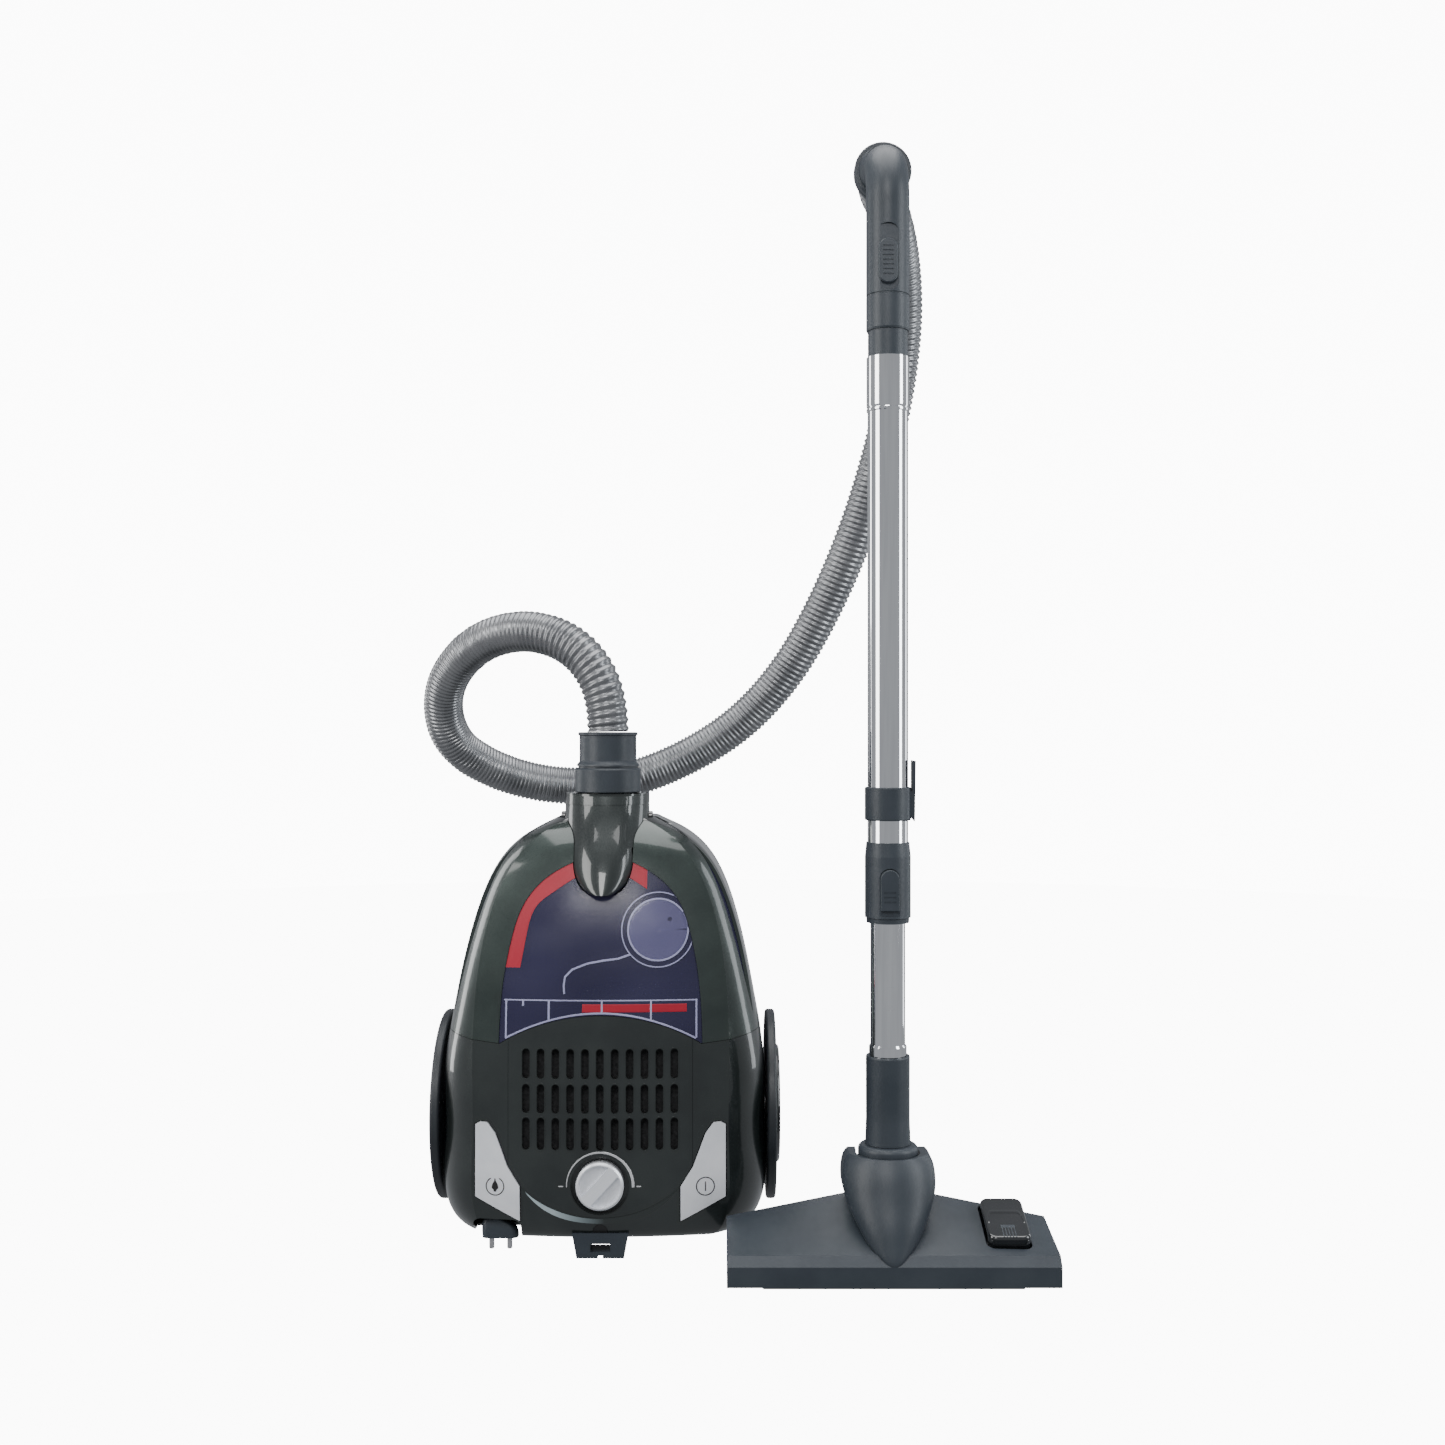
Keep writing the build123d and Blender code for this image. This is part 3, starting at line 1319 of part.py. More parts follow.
ROLLER_RADIUS = 6.5
ROLLER_Y = -73.0
ROLLER_REACH = 52.0
with BuildPart() as nozzle_cover:
    add(nozzle_outer)
    add(nozzle_inner, mode=Mode.SUBTRACT)
    with Locations((WAND_X, (NOZZLE_FRONT + NOZZLE_REAR) / 2, 4)):
        Box(NOZZLE_WIDTH - 5.2, NOZZLE_REAR - NOZZLE_FRONT - 5.2, 8, mode=Mode.SUBTRACT)
    add(dome_room, mode=Mode.SUBTRACT)
    add(neck_way.part, mode=Mode.SUBTRACT)
    with BuildSketch(PEDAL_SLOPE.offset(-8)):
        RectangleRounded(39, 64, 8)
    extrude(amount=48, mode=Mode.SUBTRACT)
    with BuildSketch(level(0)):
        with Locations((WAND_X - ROLLER_REACH, ROLLER_Y), (WAND_X + ROLLER_REACH, ROLLER_Y)):
            Rectangle(20, 19)
    extrude(amount=15, mode=Mode.SUBTRACT)
save(nozzle_cover.part, "nozzle_cover")

with BuildPart() as nozzle_pedal:
    with BuildSketch(PEDAL_SLOPE.offset(-2)):
        RectangleRounded(36, 58, 7)
    extrude(amount=14)
    fillet(nozzle_pedal.faces().sort_by(Axis.Z)[-1].edges(), 2.4)
    with BuildSketch(PEDAL_SLOPE.offset(-2)):
        RectangleRounded(31, 52, 5)
    extrude(amount=10, mode=Mode.SUBTRACT)
    with BuildSketch(across(PEDAL_X - 16)):
        with Locations((PEDAL_Y, PEDAL_Z + 3)):
            Circle(2.0)
    extrude(amount=32)
save(nozzle_pedal.part, "nozzle_pedal")

BRUSH_ROWS = (-130.0, -84.0)
with BuildPart() as sole_plate:
    with Locations((WAND_X, (NOZZLE_FRONT + NOZZLE_REAR) / 2, 5)):
        Box(NOZZLE_WIDTH - 5.8, NOZZLE_REAR - NOZZLE_FRONT - 5.8, 4)
    with Locations((WAND_X, -138.5, 1.5), (WAND_X, -78.0, 1.5)):
        Box(NOZZLE_WIDTH - 60, 5, 3)
    for x in (-70, 70):
        with Locations((WAND_X + x, -110, 10)):
            Box(100, 10, 20, mode=Mode.SUBTRACT)
    with Locations((WAND_X, -108, 10)):
        Box(50, 26, 20, mode=Mode.SUBTRACT)
    with Locations(*[(WAND_X, y, 10) for y in BRUSH_ROWS]):
        Box(NOZZLE_WIDTH - 30, 5, 20, mode=Mode.SUBTRACT)
    for x in (-ROLLER_REACH, ROLLER_REACH):
        with Locations((WAND_X + x, ROLLER_Y, 5)):
            Box(18, 20, 12, mode=Mode.SUBTRACT)
        with BuildSketch(across(WAND_X + x - 9.5)):
            with Locations((ROLLER_Y, ROLLER_RADIUS)):
                Circle(1.5)
        extrude(amount=19)
save(sole_plate.part, "sole_plate")

with BuildPart() as nozzle_rollers:
    for x in (-ROLLER_REACH, ROLLER_REACH):
        with BuildSketch(across(WAND_X + x - 7)):
            with Locations((ROLLER_Y, ROLLER_RADIUS)):
                Circle(ROLLER_RADIUS)
                Circle(1.5 + RUNNING_FIT, mode=Mode.SUBTRACT)
        extrude(amount=14)
save(nozzle_rollers.part, "nozzle_rollers")

with BuildPart() as brush_frame:
    with Locations(*[(WAND_X, y, 11) for y in BRUSH_ROWS]):
        Box(NOZZLE_WIDTH - 32, 4, 6)
    with Locations((WAND_X + 104, -107, 12.5)):
        Box(8, 50, 3)
    with Locations((WAND_X - 104, -107, 12.5)):
        Box(8, 50, 3)
save(brush_frame.part, "brush_frame")

with BuildPart() as brush_bristles:
    for y in BRUSH_ROWS:
        with Locations((WAND_X, y, 5.8)):
            Box(NOZZLE_WIDTH - 34, 3, 4.4)
save(brush_bristles.part, "brush_bristles")

# ---------------------------------------------------------------- hose
def tangent_radii(points):
    """The largest tangent arc at each corner of a route: 0.45 of the shorter run over tan of half the turn."""
    radii = []
    for before, here, after in zip(points, points[1:], points[2:]):
        first, second = Vector(*here) - Vector(*before), Vector(*after) - Vector(*here)
        turn = math.radians(first.get_angle(second))
        radii.append(0.45 * min(first.length, second.length) / math.tan(turn / 2))
    return radii


hose_radii = tangent_radii(HOSE_ROUTE)
with BuildPart() as hose:
    with BuildLine():
        hose_path = FilletPolyline(*HOSE_ROUTE, radius=hose_radii)
    with BuildSketch(Plane(hose_path @ 0, z_dir=hose_path % 0)):
        Circle(HOSE_DIAMETER / 2)
        Circle(HOSE_DIAMETER / 2 - 3, mode=Mode.SUBTRACT)
    sweep(transition=Transition.ROUND)
save(hose.part, "hose")

hose_section = math.pi * ((HOSE_DIAMETER / 2) ** 2 - (HOSE_DIAMETER / 2 - 3) ** 2)
print("hose radii", [round(radius) for radius in hose_radii])
print("hose length", round(hose_path.length))
print("hose volume over section times length", round(hose.part.volume / (hose_section * hose_path.length), 4))
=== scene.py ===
import json
import math

import bpy
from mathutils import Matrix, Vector


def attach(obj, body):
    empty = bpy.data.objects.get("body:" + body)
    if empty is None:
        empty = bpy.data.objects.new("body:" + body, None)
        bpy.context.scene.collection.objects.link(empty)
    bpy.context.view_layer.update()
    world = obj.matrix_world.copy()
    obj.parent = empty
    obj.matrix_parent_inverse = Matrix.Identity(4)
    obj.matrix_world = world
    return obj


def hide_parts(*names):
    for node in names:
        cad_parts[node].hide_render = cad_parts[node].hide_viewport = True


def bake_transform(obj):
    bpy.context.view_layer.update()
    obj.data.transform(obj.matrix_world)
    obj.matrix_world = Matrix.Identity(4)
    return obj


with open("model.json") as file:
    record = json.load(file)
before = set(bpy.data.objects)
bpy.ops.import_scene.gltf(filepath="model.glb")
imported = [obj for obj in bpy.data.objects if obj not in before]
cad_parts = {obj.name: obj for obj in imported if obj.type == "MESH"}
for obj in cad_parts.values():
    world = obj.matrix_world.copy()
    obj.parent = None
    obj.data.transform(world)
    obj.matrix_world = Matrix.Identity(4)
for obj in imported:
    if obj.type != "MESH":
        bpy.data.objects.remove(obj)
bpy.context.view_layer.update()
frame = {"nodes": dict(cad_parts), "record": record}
nodes = frame["nodes"]
scene = bpy.context.scene

# ---------------------------------------------------------------- camera
camera_data = bpy.data.cameras.new("camera")
camera_data.lens = 40.63
camera_data.sensor_width = 36.0
camera = bpy.data.objects.new("camera", camera_data)
camera.location = (-0.0065, -1.496, 0.471)
camera.rotation_euler = (math.radians(90), 0, 0)
scene.collection.objects.link(camera)
scene.camera = camera

# ---------------------------------------------------------------- places
CANISTER_X = -0.114
WAND_X = 0.136
WAND_Y = -0.090
INLET_Y = 0.035
CUFF_TOP = 0.462
HANDLE_AXIS_Z = 0.961
HANDLE_BEND = 0.040
HOSE_DIAMETER = 0.040
KNOB_Z = 0.0649

HOSE_ROUTE = [
    (CANISTER_X, INLET_Y, CUFF_TOP + 0.0004),
    (CANISTER_X, INLET_Y, 0.500),
    (CANISTER_X - 0.030, INLET_Y + 0.008, 0.545),
    (-0.196, 0.066, 0.562),
    (-0.250, 0.092, 0.548),
    (-0.287, 0.122, 0.504),
    (-0.283, 0.154, 0.450),
    (-0.236, 0.184, 0.418),
    (-0.174, 0.206, 0.403),
    (-0.108, 0.218, 0.408),
    (-0.042, 0.222, 0.434),
    (0.016, 0.214, 0.472),
    (0.062, 0.200, 0.524),
    (0.097, 0.184, 0.586),
    (0.127, 0.166, 0.656),
    (0.150, 0.148, 0.728),
    (0.166, 0.126, 0.800),
    (0.171, 0.100, 0.868),
    (0.163, 0.066, 0.922),
    (0.147, 0.026, 0.954),
    (WAND_X, -0.002, HANDLE_AXIS_Z),
    (WAND_X, WAND_Y + HANDLE_BEND + 0.0249, HANDLE_AXIS_Z),
]


# ---------------------------------------------------------------- materials
def new_material(name):
    """An empty node material with its shader and the object's own coordinates."""
    mat = bpy.data.materials.new(name)
    mat.use_nodes = True
    tree = mat.node_tree
    shader = tree.nodes["Principled BSDF"]
    coords = tree.nodes.new("ShaderNodeTexCoord")
    return mat, tree, shader, coords


def noise(tree, coords, scale, detail=4.0, rough=0.55, stretch=None):
    """A noise texture on object coordinates, stretched by a scale of three numbers if given."""
    tex = tree.nodes.new("ShaderNodeTexNoise")
    tex.inputs["Scale"].default_value = scale
    tex.inputs["Detail"].default_value = detail
    tex.inputs["Roughness"].default_value = rough
    source = coords.outputs["Object"]
    if stretch:
        mapping = tree.nodes.new("ShaderNodeMapping")
        mapping.inputs["Scale"].default_value = stretch
        tree.links.new(source, mapping.inputs["Vector"])
        source = mapping.outputs["Vector"]
    tree.links.new(source, tex.inputs["Vector"])
    return tex


def ramp(tree, source, low, high, from_min=0.35, from_max=0.65):
    """Noise turned into a colour between low and high."""
    node = tree.nodes.new("ShaderNodeValToRGB")
    node.color_ramp.elements[0].position = from_min
    node.color_ramp.elements[0].color = (*low, 1)
    node.color_ramp.elements[1].position = from_max
    node.color_ramp.elements[1].color = (*high, 1)
    tree.links.new(source, node.inputs["Fac"])
    return node


def spread(tree, source, low, high):
    """Noise turned into a number between low and high."""
    node = tree.nodes.new("ShaderNodeMapRange")
    node.inputs["From Min"].default_value = 0.3
    node.inputs["From Max"].default_value = 0.7
    node.inputs["To Min"].default_value = low
    node.inputs["To Max"].default_value = high
    tree.links.new(source, node.inputs["Value"])
    return node.outputs["Result"]


def bump(tree, shader, source, strength, distance):
    """A fine relief on the shader's normal."""
    node = tree.nodes.new("ShaderNodeBump")
    node.inputs["Strength"].default_value = strength
    node.inputs["Distance"].default_value = distance
    tree.links.new(source, node.inputs["Height"])
    tree.links.new(node.outputs["Normal"], shader.inputs["Normal"])


def plastic(name, low, high, rough=(0.3, 0.4), grain=900.0, relief=0.06, coat=0.0, coat_rough=0.05,
            metallic=0.0, mottle=24.0):
    """Moulded plastic or paint: slight mottling in colour and gloss over a fine surface grain."""
    mat, tree, shader, coords = new_material(name)
    cloud = noise(tree, coords, mottle, 3.0)
    tree.links.new(ramp(tree, cloud.outputs["Fac"], low, high).outputs["Color"], shader.inputs["Base Color"])
    fine = noise(tree, coords, grain, 2.0, 0.6)
    tree.links.new(spread(tree, fine.outputs["Fac"], *rough), shader.inputs["Roughness"])
    bump(tree, shader, fine.outputs["Fac"], relief, 0.0003)
    shader.inputs["Metallic"].default_value = metallic
    shader.inputs["Coat Weight"].default_value = coat
    shader.inputs["Coat Roughness"].default_value = coat_rough
    return mat


def metal(name, low, high, rough, stretch, scale=60.0, relief=0.02):
    """Bare or plated metal with a directional finish."""
    mat, tree, shader, coords = new_material(name)
    lines = noise(tree, coords, scale, 3.0, 0.6, stretch)
    tree.links.new(ramp(tree, lines.outputs["Fac"], low, high).outputs["Color"], shader.inputs["Base Color"])
    tree.links.new(spread(tree, lines.outputs["Fac"], *rough), shader.inputs["Roughness"])
    bump(tree, shader, lines.outputs["Fac"], relief, 0.0002)
    shader.inputs["Metallic"].default_value = 1.0
    return mat


def clear_plastic(name, tint_low, tint_high, alpha, coat):
    """Tinted clear plastic: glossy, partly see-through, with faint flow marks in its gloss."""
    mat, tree, shader, coords = new_material(name)
    cloud = noise(tree, coords, 9.0, 1.0)
    tree.links.new(ramp(tree, cloud.outputs["Fac"], tint_low, tint_high).outputs["Color"],
                   shader.inputs["Base Color"])
    flow = noise(tree, coords, 18.0, 1.0, 0.5, (1.0, 1.0, 2.5))
    tree.links.new(spread(tree, flow.outputs["Fac"], 0.20, 0.30), shader.inputs["Roughness"])
    shader.inputs["Alpha"].default_value = alpha
    shader.inputs["IOR"].default_value = 1.5
    shader.inputs["Coat Weight"].default_value = coat
    shader.inputs["Coat Roughness"].default_value = 0.18
    return mat


# where the painted reflection on the crescent strip is palest, and where it has faded into the dark paint
CRESCENT_REFLECTION_X = CANISTER_X - 0.040
CRESCENT_DARK_X = CANISTER_X + 0.004


def crescent_paint_and_reflection():
    """Gloss paint on the crescent strip, with a painted reflection that makes it pale at its left end; dark
    along the bottom.
    """
    mat = plastic("crescent_paint_and_reflection", (0.42, 0.52, 0.55), (0.56, 0.65, 0.68), (0.08, 0.14), 900.0, 0.01, 1.0,
                  0.02, 0.5)
    tree = mat.node_tree
    shader = tree.nodes["Principled BSDF"]
    # painted reflection: the pale mottled colour stands for reflected light and fades into the dark paint
    # towards the right
    pale = shader.inputs["Base Color"].links[0].from_socket
    place = tree.nodes.new("ShaderNodeSeparateXYZ")
    tree.links.new(tree.nodes["Texture Coordinate"].outputs["Object"], place.inputs["Vector"])
    fade = tree.nodes.new("ShaderNodeMapRange")
    fade.inputs["From Min"].default_value = CRESCENT_REFLECTION_X
    fade.inputs["From Max"].default_value = CRESCENT_DARK_X
    tree.links.new(place.outputs["X"], fade.inputs["Value"])
    blend = tree.nodes.new("ShaderNodeMix")
    blend.data_type = "RGBA"
    tree.links.new(fade.outputs["Result"], blend.inputs[0])
    tree.links.new(pale, blend.inputs[6])
    blend.inputs[7].default_value = (0.02, 0.026, 0.025, 1)
    tree.links.new(blend.outputs[2], shader.inputs["Base Color"])
    return mat


MATERIALS = {
    "shell": plastic("shell_paint", (0.012, 0.016, 0.016), (0.020, 0.026, 0.025), (0.26, 0.36), 2600.0,
                     0.05, 1.0, 0.05, 0.45),
    "frame": plastic("frame_paint", (0.020, 0.030, 0.027), (0.032, 0.046, 0.041), (0.26, 0.36), 2600.0,
                     0.06, 0.9, 0.08, 0.60),
    "bin_clear": clear_plastic("bin_clear", (0.020, 0.019, 0.054), (0.034, 0.032, 0.080), 0.62, 0.12),
    "red": plastic("red_gloss", (0.30, 0.0002, 0.014), (0.35, 0.0004, 0.018), (0.42, 0.50), 1200.0,
                   0.02, 0.0),
    "silver": plastic("silver_satin", (0.80, 0.82, 0.86), (0.90, 0.91, 0.94), (0.28, 0.38), 2200.0,
                      0.05, 0.25, 0.2, 0.40),
    "pale_gloss": crescent_paint_and_reflection(),
    "slate": plastic("slate_grain", (0.021, 0.028, 0.037), (0.030, 0.038, 0.048), (0.38, 0.50), 3200.0, 0.16,
                     0.0, 0.2, 0.0),
    "black_gloss": plastic("black_gloss", (0.006, 0.007, 0.008), (0.011, 0.012, 0.014), (0.10, 0.16), 1500.0,
                           0.02, 1.0, 0.02),
    "black_matte": plastic("black_matte", (0.006, 0.006, 0.007), (0.012, 0.012, 0.013), (0.50, 0.62), 2400.0,
                           0.15),
    "chrome": metal("chrome", (0.78, 0.79, 0.81), (0.88, 0.89, 0.90), (0.03, 0.07), (1.0, 1.0, 0.04), 240.0,
                    0.006),
    "steel": metal("steel", (0.50, 0.50, 0.51), (0.62, 0.62, 0.63), (0.25, 0.38), (1.0, 0.05, 1.0), 300.0),
    "copper": metal("copper", (0.45, 0.20, 0.09), (0.62, 0.31, 0.15), (0.30, 0.45), (1.0, 1.0, 14.0), 120.0,
                    0.2),
    "alloy": metal("alloy", (0.55, 0.55, 0.56), (0.66, 0.66, 0.67), (0.28, 0.42), (1.0, 1.0, 1.0), 180.0),
    "rubber": plastic("rubber", (0.012, 0.015, 0.019), (0.020, 0.024, 0.029), (0.38, 0.52), 1800.0, 0.12),
    "hose_plastic": plastic("hose_plastic", (0.17, 0.175, 0.185), (0.23, 0.235, 0.245), (0.24, 0.34), 1500.0,
                            0.05, 0.35, 0.12, 0.65, 40.0),
    "foam": plastic("foam", (0.006, 0.006, 0.007), (0.022, 0.022, 0.024), (0.80, 0.95), 700.0, 0.9, 0.0, 0.2,
                    0.0, 300.0),
    "board": plastic("board", (0.015, 0.10, 0.045), (0.02, 0.15, 0.07), (0.35, 0.5), 900.0, 0.1),
    "bristle": plastic("bristle", (0.012, 0.012, 0.014), (0.05, 0.05, 0.055), (0.55, 0.75), 1500.0, 0.8, 0.0,
                       0.2, 0.0, 900.0),
    "cord_black": plastic("cord_black", (0.010, 0.010, 0.010), (0.020, 0.020, 0.020), (0.4, 0.5), 900.0, 0.2),
}
# pale clear plastic for the edges seen inside the bin, also used for the painted highlight along the window's
# lower edge
CLEAR_EDGE_AND_HIGHLIGHT = clear_plastic("clear_edge_and_highlight", (0.34, 0.34, 0.54), (0.46, 0.46, 0.70), 0.75, 0.5)
RING_GLASS = clear_plastic("ring_glass", (0.16, 0.15, 0.32), (0.24, 0.23, 0.44), 0.42, 0.6)
CYCLONE_CLEAR = clear_plastic("cyclone_clear", (0.34, 0.34, 0.50), (0.50, 0.50, 0.70), 0.42, 0.7)
PRINT_DARK = plastic("print_dark", (0.008, 0.008, 0.009), (0.014, 0.014, 0.015), (0.35, 0.45))
PRINT_SILVER = plastic("print_silver", (0.62, 0.63, 0.64), (0.74, 0.74, 0.75), (0.25, 0.35), 1500.0,
                       0.03, 0.3, 0.1, 0.6)

slot_of = {entry["node"]: entry["material_slot"] for entry in frame["record"]["subparts"]}
for node, obj in nodes.items():
    obj.data.materials.clear()
    obj.data.materials.append(CYCLONE_CLEAR if node == "cyclone_tube" else MATERIALS[slot_of[node]])


# ---------------------------------------------------------------- mesh helpers
def finish_piece(obj, body, material, smooth=True):
    """Give a new piece its material, shading and body."""
    obj.data.materials.clear()
    obj.data.materials.append(material)
    if smooth:
        for face in obj.data.polygons:
            face.use_smooth = True
    if body:
        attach(obj, body)
    return obj


def mesh_object(name, vertices, faces):
    """A new mesh object from points and faces."""
    mesh = bpy.data.meshes.new(name)
    mesh.from_pydata(vertices, [], faces)
    mesh.update()
    obj = bpy.data.objects.new(name, mesh)
    scene.collection.objects.link(obj)
    return obj


def route_points(points, name):
    """The smooth line that has these points as its control points, as closely spaced points."""
    curve = bpy.data.curves.new(name, "CURVE")
    curve.dimensions = "3D"
    spline = curve.splines.new("NURBS")
    spline.points.add(len(points) - 1)
    for place, point in zip(spline.points, points):
        place.co = (*point, 1.0)
    spline.order_u = 3
    spline.use_endpoint_u = True
    curve.resolution_u = 40
    obj = bpy.data.objects.new(name, curve)
    scene.collection.objects.link(obj)
    mesh = bpy.data.meshes.new_from_object(obj)
    line = [v.co.copy() for v in mesh.vertices]
    bpy.data.objects.remove(obj)
    bpy.data.curves.remove(curve)
    bpy.data.meshes.remove(mesh)
    return line


def at_length(line, sums, s):
    """The point at length s along a line, and the direction there."""
    s = min(max(s, 0.0), sums[-1])
    low, high = 0, len(sums) - 1
    while high - low > 1:
        middle = (low + high) // 2
        if sums[middle] <= s:
            low = middle
        else:
            high = middle
    span = sums[high] - sums[low]
    part = (s - sums[low]) / span if span > 0 else 0
    return line[low].lerp(line[high], part), (line[high] - line[low]).normalized()


def swept_tube(name, line, step, radius_at, sides):
    """A round tube along a line whose radius comes from radius_at(length along, angle)."""
    sums = [0.0]
    for a, b in zip(line, line[1:]):
        sums.append(sums[-1] + (b - a).length)
    total = sums[-1]
    count = max(2, round(total / step))
    vertices, faces = [], []
    side_dir = None
    for i in range(count + 1):
        s = total * i / count
        point, _ = at_length(line, sums, s)
        ahead, _ = at_length(line, sums, s + 0.004)
        behind, _ = at_length(line, sums, s - 0.004)
        direction = (ahead - behind).normalized()
        if side_dir is None:
            side_dir = direction.orthogonal().normalized()
        side_dir = (side_dir - direction * side_dir.dot(direction)).normalized()
        other = direction.cross(side_dir)
        for k in range(sides):
            angle = 2 * math.pi * k / sides
            radius = radius_at(s, angle)
            vertices.append(point + (side_dir * math.cos(angle) + other * math.sin(angle)) * radius)
    for i in range(count):
        for k in range(sides):
            a, b = i * sides + k, i * sides + (k + 1) % sides
            faces.append((a, b, b + sides, a + sides))
    faces.append(tuple(range(sides))[::-1])
    faces.append(tuple(range(count * sides, (count + 1) * sides)))
    return mesh_object(name, vertices, faces), total


# ---------------------------------------------------------------- hose
hose_line = route_points(HOSE_ROUTE, "hose_route")
PITCHES = [(0.0, 0.0076), (0.07, 0.0070), (0.15, 0.0048), (0.24, 0.0040), (0.62, 0.0044), (0.78, 0.0054),
           (1.40, 0.0054)]


def turns_before(s):
    """How many ridges of the hose lie before length s."""
    total = 0.0
    for (s0, p0), (s1, p1) in zip(PITCHES, PITCHES[1:]):
        end = min(s, s1)
        if end <= s0:
            break
        here = p0 + (p1 - p0) * (end - s0) / (s1 - s0)
        if abs(here - p0) < 1e-7:
            total += (end - s0) / p0
        else:
            total += (s1 - s0) / (p1 - p0) * math.log(here / p0)
    return total


def hose_radius(s, angle):
    """Pointed ridges that wind round the hose."""
    phase = (turns_before(s) - angle / (2 * math.pi)) % 1.0
    rise = 1 - abs(2 * phase - 1)
    return HOSE_DIAMETER / 2 - 0.0001 - 0.0023 * (1 - rise ** 0.85)


hose, hose_length = swept_tube("hose_ridged", hose_line, 0.0010, hose_radius, 56)
finish_piece(hose, None, MATERIALS["hose_plastic"])
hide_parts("hose")
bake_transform(hose)


# ---------------------------------------------------------------- details on the canister
def surface_y(node, x, z, default):
    """The frontmost depth of a CAD node at x, z."""
    obj = nodes[node]
    hit, place, _, _ = obj.ray_cast(Vector((x, -0.5, z)), Vector((0, 1, 0)))
    return place.y if hit else default


def draped_ribbon(name, node, path, widths, thick, body, material, lift=0.0002):
    """A thin raised strip laid on a node's front along a path of x, z points."""
    vertices, faces = [], []
    count = len(path)
    for i, (x, z) in enumerate(path):
        x0, z0 = path[max(i - 1, 0)]
        x1, z1 = path[min(i + 1, count - 1)]
        along = Vector((x1 - x0, z1 - z0)).normalized()
        across = Vector((-along.y, along.x))
        half = (widths[i] if isinstance(widths, list) else widths) / 2
        for side, rise in ((-1, 0), (-0.8, 1), (0.8, 1), (1, 0)):
            px, pz = x + across.x * half * side, z + across.y * half * side
            y = surface_y(node, px, pz, -0.06) - lift - thick * rise
            vertices.append((px, y, pz))
    for i in range(count - 1):
        for k in range(3):
            a = i * 4 + k
            faces.append((a, a + 1, a + 5, a + 4))
    faces.append((0, 1, 2, 3))
    last = (count - 1) * 4
    faces.append((last + 3, last + 2, last + 1, last))
    obj = mesh_object(name, vertices, faces)
    return finish_piece(obj, body, material, smooth=False)


def circle_path(x, z, radius, start=0, end=360, count=48):
    """Points on an arc about x, z from start to end degrees."""
    angles = [math.radians(start + (end - start) * i / count) for i in range(count + 1)]
    return [(x + radius * math.cos(a), z + radius * math.sin(a)) for a in angles]


# the dial's scale: an arc that widens from the low end to the high end, and a tick at each end
SCALE_RADIUS, SCALE_STEPS = 0.0292, 60
TICK_OFFSET, TICK_HALF = 0.0342, 0.002
scale_path = circle_path(CANISTER_X, KNOB_Z, SCALE_RADIUS, 182, -2, SCALE_STEPS)
scale_widths = [0.0009 + 0.0016 * i / SCALE_STEPS for i in range(SCALE_STEPS + 1)]
draped_ribbon("dial_scale", "exhaust_cover", scale_path, scale_widths, 0.00025, "canister",
              PRINT_SILVER)
for k, x in enumerate((CANISTER_X - TICK_OFFSET, CANISTER_X + TICK_OFFSET)):
    tick = [(x - TICK_HALF, KNOB_Z - 0.0005), (x + TICK_HALF, KNOB_Z - 0.0005)]
    draped_ribbon(f"dial_tick_{k}", "exhaust_cover", tick, 0.0011, 0.0002, "canister", PRINT_SILVER)

# the printed signs on the pedals: power on the right, the plug on the left
POWER_X, REWIND_X, SIGN_Z = CANISTER_X + 0.0925, CANISTER_X - 0.0925, 0.0635
SIGN_RADIUS, SIGN_LINE, PRINT_THICK = 0.0079, 0.0009, 0.00012
for name, node, body, x in (("power_sign", "power_pedal", "power_switch", POWER_X),
                            ("rewind_sign", "rewind_pedal", "rewind_switch", REWIND_X)):
    start, end = (0, 360) if name == "power_sign" else (118, 422)
    draped_ribbon(name + "_ring", node, circle_path(x, SIGN_Z, SIGN_RADIUS, start, end), SIGN_LINE,
                  PRINT_THICK, body, PRINT_DARK)
draped_ribbon("power_sign_bar", "power_pedal", [(POWER_X, SIGN_Z - 0.0042), (POWER_X, SIGN_Z + 0.0042)],
              SIGN_LINE, PRINT_THICK, "power_switch", PRINT_DARK)
draped_ribbon("rewind_sign_plug", "rewind_pedal",
              [(REWIND_X, SIGN_Z + 0.0068 - 0.0115 * i / 12) for i in range(13)],
              [0.0010, 0.0010, 0.0012, 0.0022, 0.0034, 0.0044, 0.0050, 0.0056, 0.0058, 0.0058, 0.0030, 0.0024,
               0.0020], PRINT_THICK, "rewind_switch", PRINT_DARK)

# strips on the window's outer face that stand for the shelf and the ribs inside the bin, and a painted
# highlight along the window's lower edge
WINDOW_SHELF_Z = 0.2262
WINDOW_HALF = 0.0855
EDGE_THICK = 0.00015


def seam_z(u):
    """The height of the seam under the bin at u from the canister's middle."""
    return 0.213 - 0.025 * (u / 0.089) ** 2


def edge_and_highlight_strip(name, path, wide):
    """A pale line on the bin's window, for an edge inside the bin and for the painted highlight along the
    window's lower edge.
    """
    return draped_ribbon(name, "bin_body", path, wide, EDGE_THICK, "dust_bin", CLEAR_EDGE_AND_HIGHLIGHT)


edge_and_highlight_strip("bin_shelf_edge",
           [(CANISTER_X - WINDOW_HALF + 2 * WINDOW_HALF * i / 40, WINDOW_SHELF_Z) for i in range(41)], 0.0012)
